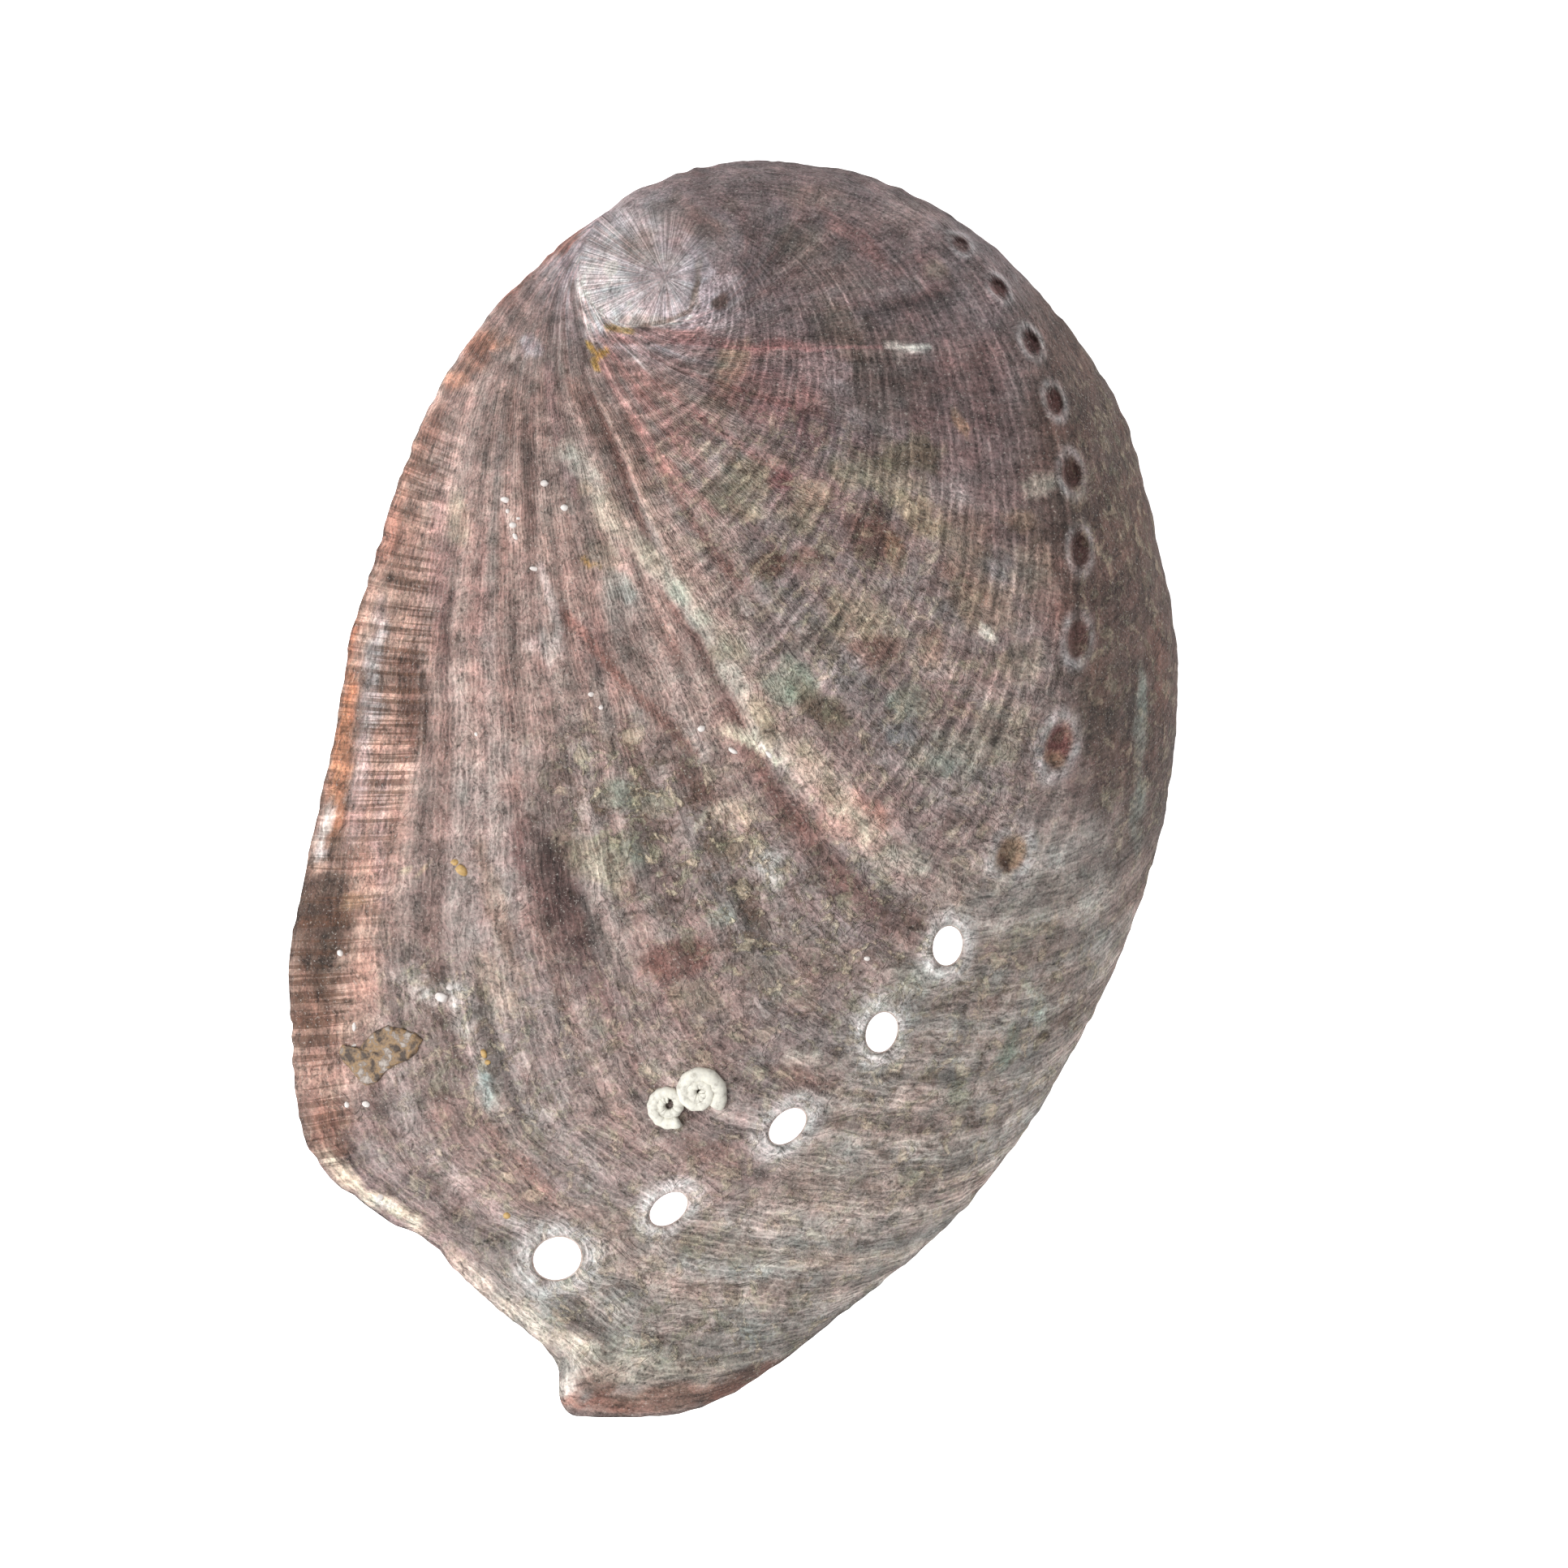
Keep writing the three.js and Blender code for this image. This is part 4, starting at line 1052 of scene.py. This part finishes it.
def backColours(x, y, u, v, lines, cords, fold):
    # broad fields lie on the mauve ground, then patches and strokes go over them, then streaks
    # along the growth lines and the cords
    wanderX = x + paint["wobble"] * softNoise(x / 1.9, y / 1.9, 41, 3)
    wanderY = y + paint["wobble"] * softNoise(x / 1.9, y / 1.9, 47, 3)
    colours = np.tile(srgbOf(grounds["mauve"]), (len(x), 1))
    for *place, name, strength in fields.values():
        amount = strength * ovalAmount(wanderX, wanderY, place, 0)
        colours = cover(colours, grounds[name], amount)
    frayed = paint["fray"] * softNoise(x / 0.8, y / 0.8, 53, 3)
    for *place, code, strength in patches:
        colours = cover(colours, code, strength * ovalAmount(wanderX, wanderY, place, frayed))
    # fold crests lightened as a painted highlight and hollows darkened as painted shade, partly the folds'
    # own colour
    colours = cover(colours, paint["foldCrestTintAndHighlight"], paint["foldTintAndShade"] * fold)
    colours = cover(colours, paint["foldHollowTintAndShade"], -paint["foldTintAndShade"] * fold)
    for points, halfWidth, rise, code, strength in strokes.values():
        distance = strokeDistance(x + 0.3 * (wanderX - x), y + 0.3 * (wanderY - y), points)[0]
        inside = 1 - smoothStep(0.6, 1.5, distance / halfWidth + frayed)
        colours = cover(colours, code, strength * inside)
    alongLines = softNoise(u / 2.4, v / 9, 61, 3)
    alongCords = softNoise(u / 15, v / 0.45, 67, 2)
    blotches = softNoise(x / 1.1, y / 1.1, 71, 3)
    light = 1 + paint["lineStreaks"] * lines * alongLines + paint["cordStreaks"] * cords * alongCords
    light = light + paint["blotches"] * blotches
    redder = paint["reddening"] * (softNoise(u / 3.1, v / 12, 83, 2) + softNoise(x / 2.6, y / 2.6, 89, 3))
    hue = 1 + redder[:, None] * np.array([1.0, -0.5, -0.9])
    colours = np.clip(colours * light[:, None] * hue, 0.02, 0.98)
    uneven = 0.75 + 0.5 * softNoise(x / 0.9, y / 0.9, 73, 2)
    for angle, halfLength, halfWidth, *filling in openPores + closedPores:
        oval = ovalDistance(x, y, angle, halfLength, halfWidth)
        kind = "closedRim" if filling else "openRim"
        halo = uneven * bell(oval - 1.35, 0.36 + 0.14 * smoothStep(55, 70, angle))
        colours = cover(colours, paint[kind], paint[kind + "Cover"] * halo)
        if filling:
            colours = cover(colours, filling[0], 0.9 * (1 - smoothStep(0.75, 1.1, oval)))
    for *place, code, strength in lateStains:
        colours = cover(colours, code, strength * ovalAmount(x, y, place, 0))
    return toLinear(colours) / (paint["lightGain"] - paint["leftGain"] * x)[:, None]


def surfaceAmount(x, y, places):       # the strongest of a list of ovals at each point
    amounts = [strength * ovalAmount(x, y, place, 0) for *place, strength in places]
    return np.max(amounts, axis=0)


def buildShell():
    points = np.concatenate(parts.points)
    maps = np.concatenate(parts.maps)
    tint = np.clip(backColours(points[:, 0], points[:, 1], *maps.T), 0, 1)
    low, high = points.min(0), points.max(0)
    cadSize = (np.array(cadHigh) - np.array(cadLow)) / mm
    fit = min(1.0, (cadSize[0] - 0.02) / (high[0] - low[0]), (cadSize[1] - 0.02) / (high[1] - low[1]))
    middle = (np.array(cadLow) + np.array(cadHigh)) / 2 / mm
    points[:, :2] = (points[:, :2] - (low[:2] + high[:2]) / 2) * fit + middle[:2]
    points[:, 2] *= min(1.0, (cadSize[2] - 0.01) / high[2])
    backPoints = points[:backCount]
    faces = np.concatenate(parts.faces)
    slots = np.concatenate(parts.slots)
    used = np.zeros(len(points), bool)
    used[faces[faces >= 0]] = True
    renumber = np.cumsum(used) - 1
    isTriangle = faces[:, 3] < 0
    counts = np.where(isTriangle, 3, 4)
    corners = faces.ravel()
    corners = renumber[corners[corners >= 0]]
    mesh = bpy.data.meshes.new("shell surface")
    mesh.vertices.add(int(used.sum()))
    mesh.vertices.foreach_set("co", (points[used] * mm).ravel())
    mesh.loops.add(len(corners))
    mesh.loops.foreach_set("vertex_index", corners)
    mesh.polygons.add(len(faces))
    mesh.polygons.foreach_set("loop_start", np.concatenate([[0], np.cumsum(counts)[:-1]]))
    mesh.polygons.foreach_set("material_index", slots)
    mesh.polygons.foreach_set("use_smooth", np.ones(len(faces), bool))
    mesh.update()
    mesh.validate(verbose=True)
    maps, tint = maps[used], tint[used]
    tintLayer = mesh.color_attributes.new("tint", "FLOAT_COLOR", "POINT")
    tintLayer.data.foreach_set("color", np.hstack([tint, np.ones((len(tint), 1))]).ravel())
    usedX, usedY = points[used, 0], points[used, 1]
    cordsLeft = maps[:, 3] * (1 - surfaceAmount(usedX, usedY, wornCords))
    crusts, bars = [surfaceAmount(usedX, usedY, places) for places in (crusted, barred)]
    signs = np.stack([maps[:, 2], cordsLeft, crusts, bars], 1)
    signLayer = mesh.color_attributes.new("sculpture", "FLOAT_COLOR", "POINT")
    signLayer.data.foreach_set("color", signs.ravel())
    growthMap = mesh.uv_layers.new(name="growth")
    growthMap.data.foreach_set("uv", maps[corners, :2].ravel())
    return mesh, backPoints, int(counts.sum() - 2 * len(faces))


# Materials
class Nodes:
    def __init__(self, name):
        self.material = bpy.data.materials.new(name)
        self.material.use_nodes = True
        self.tree = self.material.node_tree
        self.surface = self.tree.nodes["Principled BSDF"]

    def add(self, kind, inputs=None, **settings):
        node = self.tree.nodes.new("ShaderNode" + kind)
        for key, value in settings.items():
            setattr(node, key, value)
        for key, value in (inputs or {}).items():
            self.put(node.inputs[key], value)
        return node

    def put(self, socket, value):
        if isinstance(value, bpy.types.NodeSocket):
            self.tree.links.new(value, socket)
        else:
            socket.default_value = value

    def math(self, operation, *values, clamp=False):
        node = self.add("Math", dict(enumerate(values)), operation=operation, use_clamp=clamp)
        return node.outputs[0]

    def noise(self, vector, scale, detail=2.0, roughness=0.55, distortion=0.0):
        return self.add("TexNoise", {
            "Vector": vector, "Scale": scale, "Detail": detail, "Roughness": roughness,
            "Distortion": distortion})

    def mix(self, kind, factor, a, b):
        node = self.add("Mix", data_type="RGBA", blend_type=kind)
        for place, value in ((0, factor), (6, a), (7, b)):
            self.put(node.inputs[place], value)
        return node.outputs[2]

    def ramp(self, factor, stops):
        node = self.add("ValToRGB", {0: factor})
        for _ in stops[2:]:
            node.color_ramp.elements.new(0.5)
        for element, (place, code) in zip(node.color_ramp.elements, stops):
            element.position = place
            element.color = (*linearColour(code), 1)
        return node.outputs[0]


backLook = {
    "grainSize": 0.2, "mottleSize": 1.0, "crustSize": 1.5,      # mm
    "crinkleSize": 1.7, "rippleSize": 0.6, "patchSize": 3.4,
    "crinkle": 1.5, "ripple": 0.8,     # how many lines' breadths a line is pushed by
    # how much each of them lightens and darkens the ground
    # lineRidge and cordRidge lighten the ridge tops: partly their own paler colour, partly a painted
    # highlight
    "grain": 2.0, "mottle": 1.5, "lineTone": 1.2, "cordTone": 1.0, "lineRidge": 0.6, "cordRidge": 1.15,
    "warm": (1.09, 0.96, 0.91, 1.0), "cool": (0.99, 1.0, 0.93, 1.0),
    # mm
    "lineHeight": 0.06, "cordHeight": 0.09, "grainHeight": 0.1, "lumpHeight": 0.2, "crustHeight": 0.14,
    "wrinkle": 0.3, "wrinkleWidth": 0.05, "wrinkleHeight": 0.06,
    "roughness": 0.8, "specular": 0.3,
    "dust": "#d8cfc6", "dirt": "#38291f", "bar": "#553c2f",
    "crust": "#cabfa8", "algae": "#999b84", "stain": "#58463a",
}


def ridges(nodes, coordinate, push):
    # one narrow ridge for each whole number of the coordinate, pushed about by the crinkles
    turns = nodes.math("MULTIPLY", nodes.math("ADD", coordinate, push), 2 * math.pi)
    return nodes.math("POWER", nodes.math("MULTIPLY_ADD", nodes.math("SINE", turns), 0.5, 0.5), 3.0)


def makeBackMaterial():
    look = backLook
    nodes = Nodes("weathered shell back")
    place = nodes.add("TexCoord").outputs["Object"]
    growthMap = nodes.add("UVMap", uv_map="growth").outputs[0]
    tint = nodes.add("Attribute", attribute_name="tint").outputs["Color"]
    signs = nodes.add("Attribute", attribute_name="sculpture")
    lines, cords, crustHere = nodes.add("SeparateColor", {0: signs.outputs["Color"]}).outputs
    barHere = signs.outputs["Alpha"]

    def total(*values):
        result = values[0]
        for value in values[1:]:
            result = nodes.math("ADD", result, value)
        return result

    def product(*values):
        result = values[0]
        for value in values[1:]:
            result = nodes.math("MULTIPLY", result, value)
        return result

    def swing(value, amount):          # a noise value about 0.5 as a swing about zero
        return product(nodes.math("SUBTRACT", value, 0.5), amount)

    def between(value, low, high, first=0.0, last=1.0):   # first below low, last above high
        return nodes.add("MapRange", {0: value, 1: low, 2: high, 3: first, 4: last}).outputs[0]

    def threeNoises(size, *settings):  # three noises that have nothing to do with each other
        coloured = nodes.noise(place, 1000 / size, *settings).outputs["Color"]
        return nodes.add("SeparateColor", {0: coloured}).outputs

    def alongMap(x, y, *settings):     # noise stretched along the growth lines or the cords
        vector = nodes.add("VectorMath", {0: growthMap, 1: (x, y, 1.0)}, operation="MULTIPLY").outputs[0]
        return nodes.noise(vector, 1.0, *settings).outputs[0]

    def litColour(code):               # as it should look in the studio light
        return (*(linearColour(code) / paint["lightGain"]), 1)

    crinkles, ripples = threeNoises(look["crinkleSize"], 2.0), threeNoises(look["rippleSize"], 1.0)
    linePush = total(swing(crinkles[0], look["crinkle"]), swing(ripples[0], look["ripple"]))
    cordPush = total(swing(crinkles[1], 0.5 * look["crinkle"]), swing(ripples[1], 0.5 * look["ripple"]))
    grain, hueNoise, dustNoise = threeNoises(look["grainSize"], 3.0, 0.65)
    mottle, broadHue, dirtNoise = threeNoises(look["mottleSize"], 4.0, 0.62, 0.4)
    patchy = threeNoises(look["patchSize"], 2.0)
    lineNoise, cordNoise = alongMap(1.1, 0.25, 3.0, 0.6), alongMap(0.12, 3.0, 2.0, 0.6)
    counted = nodes.add("SeparateXYZ", {0: growthMap}).outputs
    lineRidges = product(ridges(nodes, counted[0], linePush), lines, between(patchy[0], 0.4, 0.6, 0.3))
    cordRidges = product(
        ridges(nodes, counted[1], cordPush), cords,
        between(patchy[1], 0.4, 0.6, 0.4), between(grain, 0.35, 0.6, 0.4))

    # ground colour with crusts, algae and dark stains, then light and dark by all the relief
    crusts = threeNoises(look["crustSize"], 5.0, 0.68, 0.5)
    crust, algae, stain = [
        product(between(noise, *edges), crustHere)
        for noise, edges in zip(crusts, ((0.54, 0.6), (0.55, 0.62), (0.54, 0.6)))]
    streaks = between(alongMap(0.03, 4.2, 2.0, 0.6), 0.5, 0.56)
    bar = product(streaks, barHere, between(grain, 0.3, 0.5, 0.5))
    ground = tint
    covers = (("crust", crust, 0.6), ("algae", algae, 0.5), ("stain", stain, 0.6), ("bar", bar, 0.75))
    for name, amount, share in covers:
        ground = nodes.mix("MIX", product(amount, share), ground, litColour(look[name]))
    # wrinkles: thin dark lines where a stretched, curled noise passes its middle
    curled = alongMap(0.42, 0.7, 3.0, 0.6, 1.0)
    fromMiddle = nodes.math("ABSOLUTE", nodes.math("SUBTRACT", curled, 0.5))
    wrinkle = between(fromMiddle, 0.0, look["wrinkleWidth"])
    darker = product(nodes.math("SUBTRACT", wrinkle, 0.8), look["wrinkle"], between(lines, 0.0, 0.3))
    tone = total(0.92, swing(grain, look["grain"]), swing(mottle, look["mottle"]), darker)
    tone = total(tone, product(swing(lineNoise, look["lineTone"]), lines))
    tone = total(tone, product(swing(cordNoise, look["cordTone"]), cords))
    # ridge tops of growth lines and cords are lightened: partly their own paler colour, partly a painted
    # highlight
    tone = total(tone, product(lineRidges, look["lineRidge"]), product(cordRidges, look["cordRidge"]))
    tone = nodes.math("MAXIMUM", tone, 0.15)
    coloured = nodes.add("VectorMath", {0: ground, "Scale": tone}, operation="SCALE").outputs[0]
    hueNumber = total(product(hueNoise, 0.4), product(broadHue, 0.6))
    hue = nodes.mix("MIX", between(hueNumber, 0.4, 0.6), look["warm"], look["cool"])
    coloured = nodes.mix("MULTIPLY", 1.0, coloured, hue)
    dusty, dirty = between(dustNoise, 0.6, 0.7, 0.0, 0.55), between(dirtNoise, 0.42, 0.32, 0.0, 0.5)
    coloured = nodes.mix("MIX", dusty, coloured, litColour(look["dust"]))
    coloured = nodes.mix("MIX", dirty, coloured, litColour(look["dirt"]))
    nodes.put(nodes.surface.inputs["Base Color"], coloured)
    nodes.surface.inputs["Roughness"].default_value = look["roughness"]
    nodes.surface.inputs["Specular IOR Level"].default_value = look["specular"]

    height = total(product(lineRidges, look["lineHeight"]), product(cordRidges, look["cordHeight"]))
    height = total(height, product(grain, look["grainHeight"]), product(mottle, look["lumpHeight"]))
    height = total(height, product(wrinkle, look["wrinkleHeight"]))
    height = total(height, product(lineNoise, lines, look["lumpHeight"]))
    height = total(height, product(crust, look["crustHeight"]))
    bump = nodes.add("Bump", {"Strength": 1.0, "Distance": mm, "Height": height})
    nodes.put(nodes.surface.inputs["Normal"], bump.outputs[0])
    return nodes.material


nacreLook = {
    "bandSize": 14.0, "rippleSize": 2.2, "rippleHeight": 0.2,   # mm
    "colours": [
        (0.3, "#b4cdc3"), (0.42, "#d6d1d3"), (0.5, "#d8c3ca"), (0.57, "#c2cdd9"), (0.66, "#afd0c2"),
        (0.75, "#d6d0b9"),
    ],
    "roughness": 0.24, "metallic": 0.2, "coat": 0.3,
}


def makeNacreMaterial():
    look = nacreLook
    nodes = Nodes("nacre")
    place = nodes.add("TexCoord").outputs["Object"]
    bands = nodes.noise(place, 1000 / look["bandSize"], 3.0, 0.5, 1.2)
    colour = nodes.ramp(bands.outputs[0], look["colours"])
    ripples = nodes.noise(place, 1000 / look["rippleSize"], 3.0, 0.5)
    nodes.put(nodes.surface.inputs["Base Color"], colour)
    nodes.surface.inputs["Roughness"].default_value = look["roughness"]
    nodes.surface.inputs["Metallic"].default_value = look["metallic"]
    nodes.surface.inputs["Coat Weight"].default_value = look["coat"]
    height = nodes.math("MULTIPLY", ripples.outputs[0], look["rippleHeight"])
    bump = nodes.add("Bump", {"Strength": 0.5, "Distance": mm, "Height": height})
    nodes.put(nodes.surface.inputs["Normal"], bump.outputs[0])
    return nodes.material


def makeSpeckledMaterial(name, stops, size, roughness, bumpHeight):
    # one noise, its size in mm, picks the colour from the stops and roughens the surface
    nodes = Nodes(name)
    speckle = nodes.noise(nodes.add("TexCoord").outputs["Object"], 1000 / size, 3.0, 0.6).outputs[0]
    nodes.put(nodes.surface.inputs["Base Color"], nodes.ramp(speckle, stops))
    nodes.surface.inputs["Roughness"].default_value = roughness
    height = nodes.math("MULTIPLY", speckle, bumpHeight)
    bump = nodes.add("Bump", {"Strength": 1.0, "Distance": mm, "Height": height})
    nodes.put(nodes.surface.inputs["Normal"], bump.outputs[0])
    return nodes.material


mesh, backPoints, triangles = buildShell()
shell = bpy.data.objects.new("shell_surface", mesh)
bpy.context.collection.objects.link(shell)
edgeMaterial = makeSpeckledMaterial(
    "worn shell edge", [(0.3, "#8d7468"), (0.5, "#b5a196"), (0.7, "#d3c8c2")], 0.8, 0.6, 0.1)
for material in (makeBackMaterial(), makeNacreMaterial(), edgeMaterial):
    mesh.materials.append(material)
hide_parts("shell")
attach(shell, "root")
print("stage: shell mesh,", triangles, "triangles")


# What grew or stuck on the back: worm tubes, a crust flake and grains, placed in photo pixels

growths = {
    # centre, outer radius, turns, direction of the open end in degrees, way round, half thickness in mm
    "coils": [(824, 1360, 23, 1.6, 305, 1, 0.5), (861, 1344, 27.5, 2.2, -40, -1, 0.58)],
    "flake": [
        (462, 1272), (478, 1263), (490, 1267), (497, 1266), (510, 1272), (519, 1282), (512, 1297),
        (500, 1306), (488, 1312), (476, 1320), (466, 1331), (452, 1336), (442, 1328), (434, 1320),
        (424, 1308), (420, 1296), (424, 1287), (434, 1291), (443, 1294), (450, 1284),
    ],
    # steps along a tube and round it, its faint rings, and how deep they are
    "tubeSteps": 70, "tubeSides": 12, "tubeRings": 130, "tubeRingDepth": 0.07,
    "flakeMiddle": (468, 1298), "flakeHeight": 0.42,
    "flakeRoughness": 0.05, "flakeLumps": 0.12,
    # share of the way out and of the height, ring by ring
    "flakeRings": [
        (1.0, -0.4), (1.02, 0.25), (0.97, 0.7), (0.86, 0.95), (0.68, 1.0), (0.5, 1.0), (0.3, 0.95),
        (0.12, 0.95),
    ],
    # place, half length and half width in pixels, turn clockwise
    "whiteGrains": [
        (624, 617, 6, 4, 20), (627, 631, 3, 3, 0), (633, 648, 5, 4, 10), (636, 662, 5, 3, 60),
        (697, 627, 5, 4, 0), (420, 1174, 5, 4, 30), (437, 1265, 6, 3, 90), (437, 1288, 4, 2, -20),
        (452, 1360, 5, 4, 0), (428, 1361, 4, 3, 90), (730, 856, 4, 3, 0), (865, 898, 5, 4, 0),
        (742, 872, 3, 3, 0), (468, 1476, 8, 4, -50), (545, 1228, 9, 6, 20), (556, 1216, 5, 4, 0),
        (672, 597, 5, 4, 0), (640, 640, 3, 2, 0), (588, 905, 3, 2, 60), (1068, 1180, 4, 3, 0),
        (660, 702, 6, 3, 10), (903, 925, 7, 3, 30), (948, 930, 6, 3, 40),
    ],
    "yellowGrains": [
        (570, 1072, 9, 6, 40), (562, 1062, 5, 4, 0), (597, 1297, 6, 4, 60), (625, 1497, 5, 4, 0),
        (602, 1308, 4, 3, 0),
    ],
}


def heightAt(x, y):                    # of the finished back, from the three nearest of its points
    heights = []
    for place in np.stack([np.ravel(x), np.ravel(y)], 1):
        distance = np.hypot(*(backPoints[:, :2] - place).T)
        near = np.argpartition(distance, 3)[:3]
        weight = 1 / (distance[near] + 0.01)
        heights.append(np.sum(backPoints[near, 2] * weight) / weight.sum())
    return np.reshape(heights, np.shape(x))


def cappedRings(rings):                # a closed skin over rings of points, both ends closed by fans
    n, m = rings.shape[:2]
    points = np.concatenate([rings.reshape(-1, 3), rings[:1].mean(1), rings[-1:].mean(1)])
    index = np.arange(n * m).reshape(n, m)
    turned = np.roll(index, -1, 1)
    faces = np.stack([index[:-1], turned[:-1], turned[1:], index[1:]], -1).reshape(-1, 4).tolist()
    faces += np.stack([np.full(m, n * m), turned[0], index[0]], 1).tolist()
    faces += np.stack([np.full(m, n * m + 1), index[-1], turned[-1]], 1).tolist()
    centred = points - points.mean(0)
    volume = sum(
        np.dot(centred[face[0]], np.cross(centred[a], centred[b]))
        for face in faces for a, b in zip(face[1:-1], face[2:]))
    return points, faces if volume > 0 else [f[::-1] for f in faces]


def coiledTube(x, y, outer, turns, end, way, thickness):
    # a spiral that doubles its radius with each turn, lying on the back; the tube is faintly ringed
    t = np.linspace(0, 1, growths["tubeSteps"])
    radius = outer * photo["mmPerPixel"] * 2 ** ((t - 1) * turns)
    angle = math.radians(end) + way * 2 * math.pi * turns * (t - 1)
    ringed = 1 + growths["tubeRingDepth"] * np.sin(growths["tubeRings"] * t)
    half = thickness * (0.6 + 0.4 * t) * ringed
    px, py = fromPhoto(x, y)
    cx, cy = px + radius * np.cos(angle), py + radius * np.sin(angle)
    line = np.stack([cx, cy, heightAt(cx, cy) + 0.4 * half + 0.3 * (1 - t)], 1)
    ahead = np.gradient(line, axis=0)
    ahead /= np.linalg.norm(ahead, axis=1)[:, None]
    side = np.cross(ahead, [0, 0, 1])
    side /= np.linalg.norm(side, axis=1)[:, None]
    above = np.cross(side, ahead)
    around = np.linspace(0, 2 * math.pi, growths["tubeSides"], endpoint=False)
    ring = np.cos(around)[None, :, None] * side[:, None] + np.sin(around)[None, :, None] * above[:, None]
    return cappedRings(line[:, None] + half[:, None, None] * ring)


def crustFlake():
    # rings from the outline in to the middle, up a steep side and over a lumpy top
    x, y = fromPhoto([p[0] for p in growths["flake"]], [p[1] for p in growths["flake"]])
    mx, my = fromPhoto(*growths["flakeMiddle"])
    at = np.linspace(0, len(x), 5 * len(x), endpoint=False)
    x = np.interp(at, np.arange(len(x) + 1), np.append(x, x[0]))
    y = np.interp(at, np.arange(len(y) + 1), np.append(y, y[0]))
    rings = []
    for share, rise in growths["flakeRings"]:
        rough = 1 + growths["flakeRoughness"] * softNoise(at * 0.9, at * 0 + share, 91, 2)
        rx, ry = mx + (x - mx) * share * rough, my + (y - my) * share * rough
        lumps = growths["flakeLumps"] * softNoise(rx / 0.6, ry / 0.6, 93, 2) * (rise > 0.5)
        rings.append(np.stack([rx, ry, heightAt(rx, ry) + growths["flakeHeight"] * rise + lumps], 1))
    return cappedRings(np.array(rings))


def grain(x, y, halfLength, halfWidth, turn):
    # a squashed ball, half sunk in the back, with an uneven outline
    k = photo["mmPerPixel"]
    px, py = fromPhoto(x, y)
    up = np.linspace(-1.35, 1.35, 7)[:, None]
    around = np.linspace(0, 2 * math.pi, 10, endpoint=False)[None, :]
    uneven = 1 + 0.2 * softNoise(around * 1.3 + x, up * 1.5 + y, 95)
    a = halfLength * k * np.cos(up) * np.cos(around) * uneven
    b = halfWidth * k * np.cos(up) * np.sin(around) * uneven
    c, s = math.cos(math.radians(turn)), -math.sin(math.radians(turn))
    z = heightAt([px], [py])[0] + halfWidth * k * (0.8 * np.sin(up) + 0.2 + 0 * around)
    return cappedRings(np.stack([px + a * c - b * s, py + a * s + b * c, z], -1))


def makeGrowth(name, pieces, material):
    points, faces = [], []
    for places, corners in pieces:
        faces += [[corner + len(points) for corner in face] for face in corners]
        points += (places * mm).tolist()
    skin = bpy.data.meshes.new(name)
    skin.from_pydata(points, [], faces)
    skin.polygons.foreach_set("use_smooth", np.ones(len(faces), bool))
    skin.materials.append(material)
    growth = bpy.data.objects.new(name, skin)
    bpy.context.collection.objects.link(growth)
    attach(growth, "root")


chalk = makeSpeckledMaterial(
    "chalky worm tube", [(0.3, "#a39f94"), (0.45, "#c9c6bc"), (0.65, "#d8d5c8")], 0.5, 0.7, 0.06)
tan = [(0.38, "#3f3229"), (0.46, "#745f4a"), (0.52, "#8c7150"), (0.57, "#776a60"), (0.64, "#a1978f")]
crust = makeSpeckledMaterial("tan crust", tan, 1.0, 0.6, 0.5)
lime = makeSpeckledMaterial("white lime", [(0.3, "#b5aba6"), (0.6, "#d6d0cc")], 0.4, 0.6, 0.05)
sand = makeSpeckledMaterial("yellow sand", [(0.3, "#8f7245"), (0.6, "#bb9a62")], 0.4, 0.5, 0.05)
makeGrowth("worm_tubes", [coiledTube(*coil) for coil in growths["coils"]], chalk)
makeGrowth("crust_flake", [crustFlake()], crust)
makeGrowth("white_grains", [grain(*place) for place in growths["whiteGrains"]], lime)
makeGrowth("yellow_grains", [grain(*place) for place in growths["yellowGrains"]], sand)
print("stage: growths on the back")
